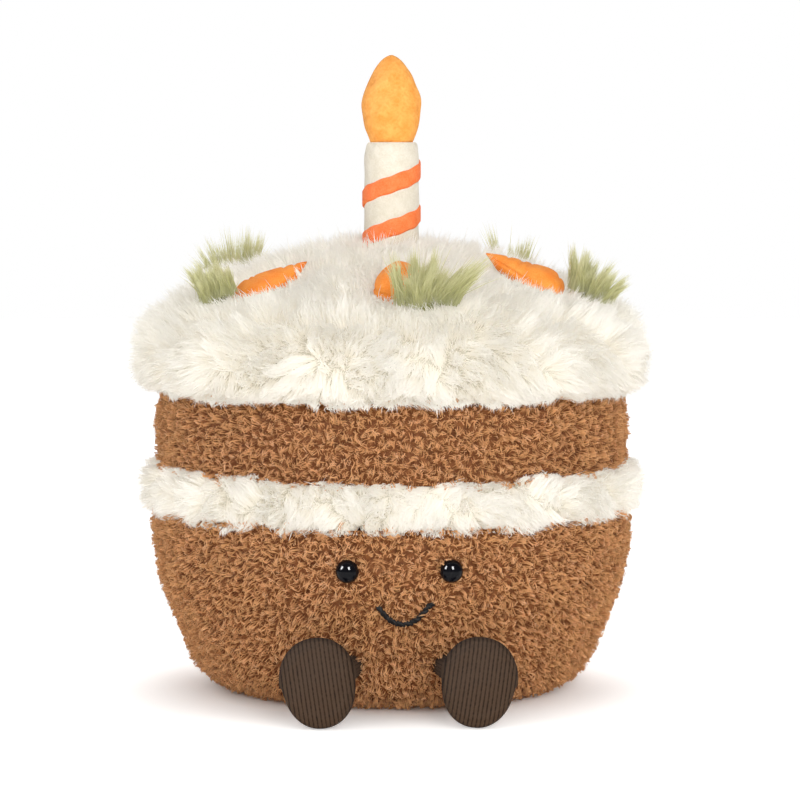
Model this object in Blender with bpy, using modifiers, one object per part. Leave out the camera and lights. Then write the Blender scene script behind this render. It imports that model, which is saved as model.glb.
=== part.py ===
"""A stuffed toy carrot cake, sewn from plush: a bowl-shaped sponge, a fur filling, a second sponge and a
domed fur icing, with five carrots round a candle, two bead eyes, a stitched smile and two corduroy boots.
Metres, +Z up. The origin is the centre of the flat underside, and the face looks along -Y."""

import math
import random

import bmesh
import bpy
from mathutils import Matrix, Vector

MM = 0.001
GAP = 0.3 * MM
MERGE = 0.01 * MM

# The lower sponge: a flat seat, a round heel, and a side that swells out to the belly.
SEAT_RADIUS = 61 * MM
HEEL_RADIUS = 20.5 * MM
HEEL_DEGREES = 74
KNEE_RADIUS = SEAT_RADIUS + HEEL_RADIUS * math.sin(math.radians(HEEL_DEGREES))
KNEE_Z = HEEL_RADIUS * (1 - math.cos(math.radians(HEEL_DEGREES)))
BELLY_RADIUS = 94.8 * MM
BELLY_Z = 63 * MM
LOWER_TOP_Z = 70.3 * MM
SPONGE_LUMP = 9 * MM
SPONGE_RELIEF = 2 * MM

# The fur band between the sponges, and the upper sponge.
BAND_TOP_Z = 89.8 * MM
BAND_SEAM_RADIUS = 87 * MM
BAND_BULGE = 14.5 * MM
UPPER_RADIUS = 93.2 * MM
UPPER_TOP_Z = 114.3 * MM
SEAM_ROUND = 4.5 * MM
FUR_LOCK = 12 * MM
BAND_RELIEF = 6 * MM

# The icing: a brow that overhangs the sponge, under a flattened dome with a crest round the candle.
BROW_RADIUS = 102 * MM
BROW_Z = 133.3 * MM
BROW_DROP = 19 * MM
BROW_INSET = 18 * MM
DOME_RISE = 33 * MM
DOME_POWER = 2.4
CREST_RISE = 12 * MM
CREST_SPREAD = 55 * MM
ICING_RELIEF = 8 * MM

# The candle with its two wound stripes, and the flame.
CANDLE_RADIUS = 11 * MM
CANDLE_FOOT_Z = 166.8 * MM
CANDLE_TOP_Z = 216.2 * MM
CANDLE_TOP_RADIUS = 8.9 * MM
CANDLE_SHOULDER = 8 * MM
STRIPE_WIDTH = 7 * MM
STRIPE_THICKNESS = 0.45 * MM
STRIPE_RISE = 22.8 * MM
STRIPE_FRONT_Z = {"upper": 199.7 * MM, "lower": 182.4 * MM}
STRIPE_TURN = math.radians(346)
FLAME_RADIUS = 12 * MM
FLAME_WAIST = 3.4 * MM
FLAME_WIDEST_Z = 230.8 * MM
FLAME_TIP_Z = 250.8 * MM
FLAME_FLATNESS = 0.82

# Five carrots lie in hollows of the dome, each with a tuft of leaves at its outer end. They were sewn on
# by eye, so their spacing round the dome is uneven. Degrees run from +X, and the front is at -90.
CARROT_ANGLES = (-86, -13, 52, 138, 208)
TUFT_ANGLES = (-80, -13, 52, 138, 208)
HOLLOW_REACH = 62 * MM
HOLLOW_LENGTH = 24 * MM
HOLLOW_WIDTH = 13 * MM
HOLLOW_DEPTH = 4 * MM
CARROT_TIP_REACH = 36 * MM
CARROT_LENGTH = 35 * MM
CARROT_RADIUS = 11 * MM
CARROT_PLUMPNESS = 1.44
CARROT_FLATNESS = 0.68
CARROT_SINK = 3.5 * MM
CARROT_TILT = math.radians(2)
TUFT_REACH = 79 * MM
TUFT_SINK = 3.5 * MM
TUFT_ROOT = (5 * MM, 9 * MM, 5 * MM)
TUFT_MOUTH = 14 * MM
MOUTH_FLARE = 2.1
LEAF_LENGTH = (17 * MM, 23 * MM)
LEAF_RADII = (1.9 * MM, 0.3 * MM)
LEAF_FAN = math.radians(33)
LEAF_LEAN = math.radians(18)
LEAVES_IN_TUFT = 12
LEAF_INWARDS = -0.6
LEAF_FOOT_SPREAD = (0.4, 0.65)

# The face and the boots.
EYE_RADIUS = 4.1 * MM
EYE_X = 19.4 * MM
EYE_Z = 57 * MM
EYE_PROUD = 0.3 * MM
SMILE_X = 2 * MM
SMILE_HALF_WIDTH = 10.2 * MM
SMILE_CORNER_Z = 43 * MM
SMILE_DEPTH = 6.8 * MM
SMILE_BEND = 2.2
THREAD_RADIUS = 0.95 * MM
THREAD_PROUD = 0.5 * MM
GROOVE_OVERRUN = 0.3
GROOVE_GAP = 1.2 * GAP
BOOT_HALF_WIDTH = 14.6 * MM
BOOT_HALF_HEIGHT = 16.6 * MM
BOOT_HALF_DEPTH = 6 * MM
BOOT_ROUND = 5 * MM
BOOT_PUFF = 2 * MM
PUFF_SHOULDER = (0.55, 0.75)
BOOT_X = 29.5 * MM
BOOTS_ASIDE = -0.7 * MM
BOOT_Y = -106 * MM
BOOT_Z = 16.8 * MM
BOOT_SPLAY = math.radians(8)
BOOT_LEAN = math.radians(-5)
LEG_RADII = (5 * MM, 7 * MM)
LEG_HIP = (15.5 * MM, -75 * MM, 19 * MM)
BELLY_GAP = 1.2 * GAP

COLOURS = {
    "sponge": (0.36, 0.155, 0.065),
    "fur": (0.90, 0.86, 0.76),
    "carrot": (0.96, 0.30, 0.05),
    "leaf": (0.42, 0.42, 0.20),
    "candle": (0.92, 0.84, 0.70),
    "stripe": (0.96, 0.28, 0.09),
    "flame": (0.95, 0.52, 0.12),
    "bead": (0.006, 0.006, 0.006),
    "thread": (0.012, 0.011, 0.010),
    "corduroy": (0.080, 0.046, 0.030),
}
GLOSSY = {"bead": 0.12}
ROUGH = 0.95


def clear_scene():
    for obj in list(bpy.data.objects):
        bpy.data.objects.remove(obj, do_unlink=True)


def new_collection(name):
    made = bpy.data.collections.new(name)
    bpy.context.scene.collection.children.link(made)
    return made


def finish_of(name):
    """The plain material of one fabric, or of the beads."""
    made = bpy.data.materials.get(name)
    if made is None:
        made = bpy.data.materials.new(name)
        made.use_nodes = True
        shader = made.node_tree.nodes["Principled BSDF"]
        shader.inputs["Base Color"].default_value = (*COLOURS[name], 1)
        shader.inputs["Roughness"].default_value = GLOSSY.get(name, ROUGH)
        shader.inputs["Metallic"].default_value = 0
    return made


def place(name, mesh, finish, collection):
    obj = bpy.data.objects.new(name, mesh)
    collection.objects.link(obj)
    mesh.materials.append(finish_of(finish))
    return obj


def as_cutter(obj, grow=0):
    """Marks a helper that only cuts, and lets it grow along its normals by the gap that pieces keep."""
    obj.hide_render = True
    obj.display_type = "WIRE"
    if grow:
        swell = obj.modifiers.new("swell", "DISPLACE")
        swell.strength = grow
        swell.mid_level = 0
    return obj


def arc(centre_r, centre_z, radius_r, radius_z, start, end, count):
    """Points on an elliptic arc of a profile. Degrees run up from the outward direction."""
    points = []
    for k in range(count + 1):
        angle = math.radians(start + (end - start) * k / count)
        points.append((centre_r + radius_r * math.cos(angle), centre_z + radius_z * math.sin(angle)))
    return points


def turned(name, profile, steps, finish, collection, rough=()):
    """A profile of (radius, height), from the top down the outer side, turned about +Z. The points whose
    numbers are in rough belong to the group that a relief moves."""
    mesh = bpy.data.meshes.new(name)
    edges = [(k, k + 1) for k in range(len(profile) - 1)]
    mesh.from_pydata([(r, 0, z) for r, z in profile], edges, [])
    obj = place(name, mesh, finish, collection)
    group = obj.vertex_groups.new(name="rough")
    group.add(list(rough), 1, "REPLACE")
    screw = obj.modifiers.new("turn", "SCREW")
    screw.axis = "Z"
    screw.steps = steps
    screw.render_steps = steps
    screw.use_smooth_shade = True
    screw.use_merge_vertices = True
    screw.merge_threshold = MERGE
    return obj


def add_relief(obj, size, depth):
    """Uneven pile: soft lumps of one size and depth on the rough part of a turned form."""
    texture = bpy.data.textures.new(obj.name + "_pile", "CLOUDS")
    texture.noise_scale = size
    displace = obj.modifiers.new("pile", "DISPLACE")
    displace.texture = texture
    displace.texture_coords = "LOCAL"
    displace.vertex_group = "rough"
    displace.mid_level = 0.5
    displace.strength = depth


def cut(obj, cutters):
    """Cuts every object of a collection from obj."""
    boolean = obj.modifiers.new("sockets", "BOOLEAN")
    boolean.operation = "DIFFERENCE"
    boolean.solver = "EXACT"
    boolean.operand_type = "COLLECTION"
    boolean.collection = cutters


def apply_modifiers(obj):
    bpy.context.view_layer.update()
    made = bpy.data.meshes.new_from_object(obj.evaluated_get(bpy.context.evaluated_depsgraph_get()))
    obj.modifiers.clear()
    obj.data = made


def join_all(obj, helpers):
    """Joins every object of a collection to obj with one union, which is applied, and removes them."""
    boolean = obj.modifiers.new("join", "BOOLEAN")
    boolean.operation = "UNION"
    boolean.solver = "EXACT"
    boolean.operand_type = "COLLECTION"
    boolean.collection = helpers
    apply_modifiers(obj)
    for helper in list(helpers.objects):
        bpy.data.objects.remove(helper, do_unlink=True)
    bpy.data.collections.remove(helpers)


def belly_radius(z):
    """The radius of the lower sponge between its heel and its belly."""
    share = min(1, max(0, (z - KNEE_Z) / (BELLY_Z - KNEE_Z)))
    return KNEE_RADIUS + (BELLY_RADIUS - KNEE_RADIUS) * math.sin(math.pi / 2 * share)


def on_sponge(x, z, out):
    """The point of the lower sponge's front at that x and z, moved out by a distance."""
    radius = belly_radius(z) + out
    return Vector((x, -math.sqrt(radius * radius - x * x), z))


def lower_sponge(collection):
    """The seat, the heel's arc, the swelling side and a soft shoulder under the fur band."""
    shoulder = arc(BELLY_RADIUS - SEAM_ROUND, LOWER_TOP_Z - SEAM_ROUND, SEAM_ROUND, SEAM_ROUND, 90, 0, 2)
    heights = [BELLY_Z - (BELLY_Z - KNEE_Z) * k / 6 for k in range(6)]
    side = [(belly_radius(z), z) for z in heights]
    heel = arc(SEAT_RADIUS, HEEL_RADIUS, HEEL_RADIUS, HEEL_RADIUS, HEEL_DEGREES - 90, -90, 4)
    profile = [(0, LOWER_TOP_Z), *shoulder, *side, *heel, (0, 0)]
    obj = turned("sponge_lower", profile, 64, "sponge", collection, range(2, len(profile) - 3))
    add_relief(obj, SPONGE_LUMP, SPONGE_RELIEF)
    return obj


def upper_sponge(collection):
    foot_z = BAND_TOP_Z + GAP
    inner = UPPER_RADIUS - SEAM_ROUND
    top = arc(inner, UPPER_TOP_Z - SEAM_ROUND, SEAM_ROUND, SEAM_ROUND, 90, 0, 2)
    middle = (UPPER_RADIUS, (UPPER_TOP_Z + foot_z) / 2)
    bottom = arc(inner, foot_z + SEAM_ROUND, SEAM_ROUND, SEAM_ROUND, 0, -90, 2)
    profile = [(0, UPPER_TOP_Z), *top, middle, *bottom, (0, foot_z)]
    obj = turned("sponge_upper", profile, 60, "sponge", collection, range(2, len(profile) - 2))
    add_relief(obj, SPONGE_LUMP, SPONGE_RELIEF)
    return obj


def fur_band(collection):
    """The filling: a bulging band of fur that runs through between the sponges."""
    low, high = LOWER_TOP_Z + GAP, BAND_TOP_Z
    bulge = arc(BAND_SEAM_RADIUS, (low + high) / 2, BAND_BULGE, (high - low) / 2, 90, -90, 6)
    profile = [(0, high), *bulge, (0, low)]
    obj = turned("filling_fur", profile, 66, "fur", collection, range(2, len(profile) - 2))
    add_relief(obj, FUR_LOCK, BAND_RELIEF)
    return obj


def icing_height(radius):
    """The top of the icing's fur at that distance from the candle's axis."""
    share = min(1, radius / BROW_RADIUS)
    dome = DOME_RISE * math.sqrt(1 - share**DOME_POWER)
    return BROW_Z + dome + CREST_RISE * math.exp(-((radius / CREST_SPREAD) ** 2))


def press_hollow(mesh, frame):
    """Presses a long soft dip into the dome, where a carrot and its tuft are sewn down."""
    to_hollow = frame.inverted()
    for vertex in mesh.vertices:
        x, y, z = to_hollow @ vertex.co
        share = math.exp(-((x / HOLLOW_LENGTH) ** 2) - (y / HOLLOW_WIDTH) ** 2)
        if abs(z) < HOLLOW_WIDTH:
            vertex.co = frame @ Vector((x, y, z - HOLLOW_DEPTH * share))


def icing(collection, sockets):
    """The fur icing: lumpy locks all over, a flat sole on the upper sponge, a socket for each topping."""
    rings = 12
    radii = [BROW_RADIUS * math.sin(math.pi / 2 * k / rings) for k in range(1, rings)]
    top = [(radius, icing_height(radius)) for radius in radii]
    brow = arc(BROW_RADIUS - BROW_INSET, BROW_Z, BROW_INSET, BROW_DROP - GAP, 0, -90, 5)
    sole_z = UPPER_TOP_Z + GAP
    profile = [(0, icing_height(0)), *top, *brow, (0, sole_z)]
    obj = turned("icing_fur", profile, 72, "fur", collection, range(len(profile) - 3))
    add_relief(obj, FUR_LOCK, ICING_RELIEF)
    apply_modifiers(obj)
    for angle, tuft_angle in zip(CARROT_ANGLES, TUFT_ANGLES):
        press_hollow(obj.data, dome_frame((angle + tuft_angle) / 2, HOLLOW_REACH, 0))
    cut(obj, sockets)
    return obj


def candle(collection, sockets):
    neck_z = CANDLE_TOP_Z - CANDLE_SHOULDER
    shoulder = arc(CANDLE_TOP_RADIUS, neck_z, CANDLE_RADIUS - CANDLE_TOP_RADIUS, CANDLE_SHOULDER, 90, 0, 4)
    foot = [(CANDLE_RADIUS, CANDLE_FOOT_Z), (0, CANDLE_FOOT_Z)]
    turned("candle", [(0, CANDLE_TOP_Z), *shoulder, *foot], 24, "candle", collection)
    bore = CANDLE_RADIUS + STRIPE_THICKNESS + 2 * GAP
    bottom = CANDLE_FOOT_Z - GAP
    hole = [(0, CANDLE_TOP_Z), (bore, CANDLE_TOP_Z), (bore, bottom), (0, bottom)]
    as_cutter(turned("candle_socket", hole, 24, "fur", sockets))


def wound_stripe(name, front_z, collection):
    """A strip of orange fabric wound once round the candle, rising to the right, its ends at the back."""
    radius = CANDLE_RADIUS + GAP
    rise = STRIPE_RISE * STRIPE_TURN / (2 * math.pi)
    foot = front_z - rise / 2
    ends = [(radius, 0, foot + STRIPE_WIDTH / 2), (radius, 0, foot - STRIPE_WIDTH / 2)]
    mesh = bpy.data.meshes.new(name)
    mesh.from_pydata(ends, [(0, 1)], [])
    obj = place(name, mesh, "stripe", collection)
    back_seam = math.pi / 2
    obj.rotation_euler = (0, 0, back_seam + (2 * math.pi - STRIPE_TURN) / 2)
    screw = obj.modifiers.new("wind", "SCREW")
    screw.axis = "Z"
    screw.angle = STRIPE_TURN
    screw.screw_offset = rise
    screw.steps = 24
    screw.render_steps = 24
    solidify = obj.modifiers.new("cloth", "SOLIDIFY")
    solidify.thickness = STRIPE_THICKNESS
    solidify.offset = 1


def flame_radius(z):
    """The flame's half width, from its waist on the candle to its blunt tip."""
    if z >= FLAME_WIDEST_Z:
        share = (z - FLAME_WIDEST_Z) / (FLAME_TIP_Z - FLAME_WIDEST_Z)
        return FLAME_RADIUS * max(0, 1 - share**1.5) ** 0.6
    share = (FLAME_WIDEST_Z - z) / (FLAME_WIDEST_Z - CANDLE_TOP_Z)
    return FLAME_RADIUS - FLAME_WAIST * share**1.8


def flame(collection):
    foot_z = CANDLE_TOP_Z + GAP
    rings = 10
    heights = [FLAME_TIP_Z - (FLAME_TIP_Z - foot_z) * (k / rings) ** 1.25 for k in range(1, rings + 1)]
    profile = [(0, FLAME_TIP_Z), *[(flame_radius(z), z) for z in heights], (0, foot_z)]
    obj = turned("flame", profile, 20, "flame", collection)
    obj.scale = (1, FLAME_FLATNESS, 1)


def dome_frame(angle, reach, sink):
    """A frame on the dome: +X outwards down the slope, +Z out of the fur, its origin sunk into the icing."""
    fall = icing_height(reach - MM) - icing_height(reach + MM)
    turn = Matrix.Rotation(math.radians(angle), 4, "Z")
    spot = Matrix.Translation((reach, 0, icing_height(reach) - sink))
    return turn @ spot @ Matrix.Rotation(math.atan2(fall, 2 * MM), 4, "Y")


def carrot(name, angle, collection, grow=0):
    """A plump flattened carrot that lies on the dome, its point towards the candle."""
    rings = 7
    shares = [math.sin(math.pi / 2 * k / rings) for k in range(rings + 1)]
    profile = [(0, grow)]
    for share in shares[1:]:
        swell = CARROT_PLUMPNESS * share**0.8 * math.sqrt(1 - share**5)
        profile.append((CARROT_RADIUS * swell + grow, -share * CARROT_LENGTH))
    profile[-1] = (0, -CARROT_LENGTH - grow)
    obj = turned(name, profile, 14, "carrot", collection)
    lay_down = Matrix.Rotation(math.radians(-90), 4, "Y")
    flatten = Matrix.Diagonal((1, 1, CARROT_FLATNESS, 1))
    to_middle = Matrix.Translation((-CARROT_LENGTH / 2, 0, 0))
    frame = dome_frame(angle, CARROT_TIP_REACH + CARROT_LENGTH / 2, CARROT_SINK)
    tilt = Matrix.Rotation(CARROT_TILT, 4, "Y")
    obj.matrix_world = frame @ tilt @ to_middle @ flatten @ lay_down
    return obj


def ball(name, radii, segments, rings, finish, collection):
    mesh = bpy.data.meshes.new(name)
    form = bmesh.new()
    bmesh.ops.create_uvsphere(form, u_segments=segments, v_segments=rings, radius=1)
    bmesh.ops.scale(form, vec=Vector(radii), verts=form.verts)
    form.to_mesh(mesh)
    form.free()
    mesh.shade_smooth()
    return place(name, mesh, finish, collection)


def cone(name, radii, length, sides, finish, collection):
    """A cone that stands on the origin, with one radius at its foot and the other at its far end."""
    mesh = bpy.data.meshes.new(name)
    foot, tip = radii
    form = bmesh.new()
    bmesh.ops.create_cone(form, cap_ends=True, segments=sides, radius1=foot, radius2=tip, depth=length)
    bmesh.ops.translate(form, vec=(0, 0, length / 2), verts=form.verts)
    form.to_mesh(mesh)
    form.free()
    return place(name, mesh, finish, collection)


def tuft(name, seed, angle, collection, sockets):
    """A fan of leaf locks, joined to the root that is sewn into the icing, and the root's flared socket."""
    draw = random.Random(seed)
    frame = dome_frame(angle, TUFT_REACH, TUFT_SINK)
    leaves = new_collection(name + "_locks")
    for k in range(LEAVES_IN_TUFT):
        aside = 2 * (k + 0.5) / LEAVES_IN_TUFT - 1
        outwards = draw.uniform(LEAF_INWARDS, 1)
        lock = cone("lock", LEAF_RADII, draw.uniform(*LEAF_LENGTH), 4, "leaf", leaves)
        down_slope, across = LEAF_FOOT_SPREAD
        foot = Matrix.Translation((TUFT_ROOT[0] * down_slope * outwards, TUFT_ROOT[1] * across * aside, 0))
        fan = Matrix.Rotation(-LEAF_FAN * aside, 4, "X")
        lean = Matrix.Rotation(LEAF_LEAN * outwards, 4, "Y")
        lock.matrix_world = frame @ foot @ lean @ fan
    obj = ball(name, TUFT_ROOT, 12, 6, "leaf", collection)
    obj.matrix_world = frame
    join_all(obj, leaves)
    bowl = [(0, TUFT_MOUTH), (MOUTH_FLARE, TUFT_MOUTH), *arc(0, 0, 1, TUFT_ROOT[2] + 2 * GAP, 0, -90, 4)]
    seat = as_cutter(turned("root_socket", bowl, 14, "fur", sockets))
    seat.matrix_world = frame @ Matrix.Diagonal((TUFT_ROOT[0] + 2 * GAP, TUFT_ROOT[1] + 2 * GAP, 1, 1))


def eye(side, name, collection, belly):
    obj = ball(name, (EYE_RADIUS, EYE_RADIUS, EYE_RADIUS), 12, 8, "bead", collection)
    obj.location = on_sponge(side * EYE_X, EYE_Z, EYE_PROUD)
    cut(obj, belly)


def thread(name, points, radius, collection):
    """A round thread along a row of points, made a closed mesh."""
    line = bpy.data.curves.new(name, "CURVE")
    line.dimensions = "3D"
    line.bevel_depth = radius
    line.bevel_resolution = 1
    line.use_fill_caps = True
    spline = line.splines.new("POLY")
    spline.points.add(len(points) - 1)
    for knot, point in zip(spline.points, points):
        knot.co = (*point, 1)
    guide = bpy.data.objects.new(name, line)
    collection.objects.link(guide)
    mesh = bpy.data.meshes.new_from_object(guide.evaluated_get(bpy.context.evaluated_depsgraph_get()))
    bpy.data.objects.remove(guide, do_unlink=True)
    form = bmesh.new()
    form.from_mesh(mesh)
    bmesh.ops.remove_doubles(form, verts=form.verts, dist=MERGE)
    form.to_mesh(mesh)
    form.free()
    return place(name, mesh, "thread", collection)


def smile(collection, grooves):
    """The stitched smile, half sunk into the sponge."""
    points = []
    steps = 10
    for k in range(steps + 1):
        share = 2 * k / steps - 1
        z = SMILE_CORNER_Z - SMILE_DEPTH * (1 - abs(share) ** SMILE_BEND)
        points.append(on_sponge(SMILE_X + SMILE_HALF_WIDTH * share, z, THREAD_PROUD))
    thread("smile", points, THREAD_RADIUS, collection)
    left_end = points[0] + (points[0] - points[1]) * GROOVE_OVERRUN
    right_end = points[-1] + (points[-1] - points[-2]) * GROOVE_OVERRUN
    longer = [left_end, *points[1:-1], right_end]
    as_cutter(thread("smile_groove", longer, THREAD_RADIUS + GROOVE_GAP, grooves))


def boot(side, name, collection, belly):
    """A stuffed oval foot, splayed outwards, on a short leg that ends against the sponge."""
    half_depth = BOOT_HALF_DEPTH
    edge = arc(BOOT_HALF_WIDTH - BOOT_ROUND, half_depth - BOOT_ROUND, BOOT_ROUND, BOOT_ROUND, 90, 0, 3)
    back = [(radius, -z) for radius, z in reversed(edge)]
    puff_reach, puff_rise = PUFF_SHOULDER
    puff = (BOOT_HALF_WIDTH * puff_reach, half_depth + BOOT_PUFF * puff_rise)
    profile = [(0, half_depth + BOOT_PUFF), puff, *edge, *back, (0, -half_depth)]
    obj = turned(name, profile, 20, "corduroy", collection)
    oval = Matrix.Diagonal((1, BOOT_HALF_HEIGHT / BOOT_HALF_WIDTH, 1, 1))
    face_front = Matrix.Rotation(math.radians(90), 4, "X")
    splay = Matrix.Rotation(side * BOOT_SPLAY, 4, "Y") @ Matrix.Rotation(BOOT_LEAN, 4, "X")
    centre = Vector((side * BOOT_X + BOOTS_ASIDE, BOOT_Y, BOOT_Z))
    obj.matrix_world = Matrix.Translation(centre) @ splay @ face_front @ oval
    hip = Vector((side * LEG_HIP[0], LEG_HIP[1], LEG_HIP[2]))
    legs = new_collection(name + "_leg")
    leg = cone("leg", LEG_RADII, (centre - hip).length, 10, "corduroy", legs)
    leg.matrix_world = Matrix.Translation(hip) @ (centre - hip).to_track_quat("Z", "Y").to_matrix().to_4x4()
    join_all(obj, legs)
    cut(obj, belly)


def main():
    clear_scene()
    toy = new_collection("toy_carrot_cake")
    sockets = new_collection("icing_sockets")
    grooves = new_collection("sponge_grooves")
    belly = new_collection("sponge_belly")

    sponge = lower_sponge(toy)
    swollen = sponge.copy()
    swollen.name = "sponge_swollen"
    belly.objects.link(swollen)
    as_cutter(swollen, BELLY_GAP)
    smile(toy, grooves)
    cut(sponge, grooves)
    eye(-1, "eye_left", toy, belly)
    eye(1, "eye_right", toy, belly)
    boot(-1, "boot_left", toy, belly)
    boot(1, "boot_right", toy, belly)

    fur_band(toy)
    upper_sponge(toy)
    candle(toy, sockets)
    for level, front_z in STRIPE_FRONT_Z.items():
        wound_stripe(f"candle_stripe_{level}", front_z, toy)
    flame(toy)
    for number, (angle, tuft_angle) in enumerate(zip(CARROT_ANGLES, TUFT_ANGLES), 1):
        carrot(f"carrot_{number}", angle, toy)
        as_cutter(carrot(f"carrot_socket_{number}", angle, sockets, 2 * GAP))
        tuft(f"carrot_top_{number}", number, tuft_angle, toy, sockets)
    icing(toy, sockets)


main()
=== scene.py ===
"""A stuffed toy carrot cake on a pale studio floor: a looped woollen sponge in two layers with white faux fur
between and on top of them, five plush carrots with green fur tops, a cloth candle and two corduroy boots.
Metres, +Z up. The face looks along -Y."""

import math

import bpy
import numpy as np
from mathutils import Matrix, Vector
from mathutils.kdtree import KDTree


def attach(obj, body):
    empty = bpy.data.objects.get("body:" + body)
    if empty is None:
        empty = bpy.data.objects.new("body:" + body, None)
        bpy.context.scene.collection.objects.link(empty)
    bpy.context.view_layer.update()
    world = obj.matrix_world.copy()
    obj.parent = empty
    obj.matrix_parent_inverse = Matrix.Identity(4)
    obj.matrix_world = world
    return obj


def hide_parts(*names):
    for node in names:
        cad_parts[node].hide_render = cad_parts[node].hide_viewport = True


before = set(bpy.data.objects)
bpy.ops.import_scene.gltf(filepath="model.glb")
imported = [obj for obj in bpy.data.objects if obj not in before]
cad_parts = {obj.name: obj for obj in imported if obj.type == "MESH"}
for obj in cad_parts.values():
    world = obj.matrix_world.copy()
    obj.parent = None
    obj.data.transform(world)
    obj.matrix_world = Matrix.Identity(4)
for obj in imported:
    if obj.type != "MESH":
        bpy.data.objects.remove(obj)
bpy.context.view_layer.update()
bpy.ops.object.select_all(action="DESELECT")

# The studio: a wide pale floor, three soft boxes in front of the toy, a weaker one behind it, and the camera
# a little to the toy's right, level with its icing. Two more boxes only mirror in the glossy bead eyes.
MM = 0.001
PX = 1 / 800
FLOOR_RADIUS = 3.0
FLOOR_PALE = (0.94, 0.93, 0.92, 1)
FLOOR_GLOW = 0.62
SHADOW_REACH = (0.058, 0.120)
SHADOW_SHIFT = (0.006, 0.040, 0)
SHADOW_SQUASH = (1, 1.3, 1)
WHITE = (1, 1, 1, 1)
ROOM_PALE = (1.0, 0.99, 0.975, 1)
ROOM_LIGHT = 0.45
MIRRORED_LIGHT = 0.08
TOY_MIDDLE = Vector((0, 0, 0.11))


def new_finish(name):
    made = bpy.data.materials.new(name)
    made.use_nodes = True
    return made, made.node_tree.nodes, made.node_tree.links, made.node_tree.nodes["Principled BSDF"]


bpy.ops.mesh.primitive_circle_add(vertices=96, radius=FLOOR_RADIUS, fill_type="NGON")
floor = bpy.context.object
floor.name = "studio_floor"
floor_finish, nodes, links, shader = new_finish("pale_floor")
shader.inputs["Base Color"].default_value = FLOOR_PALE
shader.inputs["Roughness"].default_value = 0.9
shader.inputs["Specular IOR Level"].default_value = 0.1
# The floor glows outside an oval round the toy, so that it is white but for the toy's soft shadow.
where, oval = nodes.new("ShaderNodeTexCoord"), nodes.new("ShaderNodeMapping")
oval.inputs["Location"].default_value, oval.inputs["Scale"].default_value = SHADOW_SHIFT, SHADOW_SQUASH
away = nodes.new("ShaderNodeVectorMath")
away.operation = "LENGTH"
links.new(where.outputs["Object"], oval.inputs["Vector"])
links.new(oval.outputs["Vector"], away.inputs[0])
fade = nodes.new("ShaderNodeMapRange")
fade.inputs["From Min"].default_value, fade.inputs["From Max"].default_value = SHADOW_REACH
fade.inputs["To Max"].default_value = FLOOR_GLOW
links.new(away.outputs["Value"], fade.inputs["Value"])
shader.inputs["Emission Color"].default_value = WHITE
links.new(fade.outputs["Result"], shader.inputs["Emission Strength"])
floor.data.materials.append(floor_finish)

world = bpy.context.scene.world or bpy.data.worlds.new("studio")
bpy.context.scene.world = world
world.use_nodes = True
nodes, links = world.node_tree.nodes, world.node_tree.links
nodes.clear()
backdrop, room, mirrored = (nodes.new("ShaderNodeBackground") for _ in range(3))
for light, colour, strength in (
    (backdrop, WHITE, 1.0), (room, ROOM_PALE, ROOM_LIGHT), (mirrored, WHITE, MIRRORED_LIGHT),
):
    light.inputs["Color"].default_value = colour
    light.inputs["Strength"].default_value = strength
ray = nodes.new("ShaderNodeLightPath")
shine_or_room, seen_or_not = nodes.new("ShaderNodeMixShader"), nodes.new("ShaderNodeMixShader")
links.new(ray.outputs["Is Glossy Ray"], shine_or_room.inputs["Fac"])
links.new(room.outputs[0], shine_or_room.inputs[1])
links.new(mirrored.outputs[0], shine_or_room.inputs[2])
links.new(ray.outputs["Is Camera Ray"], seen_or_not.inputs["Fac"])
links.new(shine_or_room.outputs[0], seen_or_not.inputs[1])
links.new(backdrop.outputs[0], seen_or_not.inputs[2])
links.new(seen_or_not.outputs[0], nodes.new("ShaderNodeOutputWorld").inputs["Surface"])


def softbox(name, turn, rise, distance, size, watts, for_eyes=False):
    """An area lamp that faces the toy. Degrees of turn run right from the front, and of rise upwards."""
    turn, rise = math.radians(turn), math.radians(rise)
    towards = Vector((math.sin(turn) * math.cos(rise), -math.cos(turn) * math.cos(rise), math.sin(rise)))
    bpy.ops.object.light_add(type="AREA", location=TOY_MIDDLE + towards * distance)
    lamp = bpy.context.object
    lamp.name = name
    lamp.rotation_euler = towards.to_track_quat("Z", "Y").to_euler()
    lamp.data.shape = "RECTANGLE"
    lamp.data.size, lamp.data.size_y = size
    lamp.data.energy = watts
    lamp.visible_diffuse = not for_eyes
    lamp.visible_glossy = for_eyes
    lamp.visible_camera = False


softbox("box_left", -42, 30, 2.0, (1.3, 1.3), 7)
softbox("box_right", 24, 28, 2.0, (1.3, 1.3), 12)
softbox("box_front", 4, 15, 2.0, (1.6, 0.9), 14)
softbox("box_behind", 170, 40, 2.2, (1.4, 1.2), 4)
softbox("eye_box_left", -62, 30, 1.2, (0.36, 0.55), 54, for_eyes=True)
softbox("eye_box_right", 16, 31, 1.2, (0.36, 0.55), 54, for_eyes=True)

CAMERA_TURN = math.radians(-1.8)
CAMERA_DISTANCE = 1.2
CAMERA_HEIGHT = 0.2048
CAMERA_DOWN = math.atan(229 / 3000)
CAMERA_LENS = 135
CAMERA_FILM = 36
CAMERA_SHIFT = 8.5 * PX
bpy.ops.object.camera_add(
    location=(CAMERA_DISTANCE * math.sin(CAMERA_TURN), -CAMERA_DISTANCE * math.cos(CAMERA_TURN),
              CAMERA_HEIGHT),
    rotation=(math.pi / 2 - CAMERA_DOWN, 0, CAMERA_TURN),
)
camera = bpy.context.object
camera.data.lens = CAMERA_LENS
camera.data.sensor_width = CAMERA_FILM
camera.data.shift_x = CAMERA_SHIFT
bpy.context.scene.camera = camera
bpy.context.scene.view_settings.view_transform = "Standard"

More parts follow.
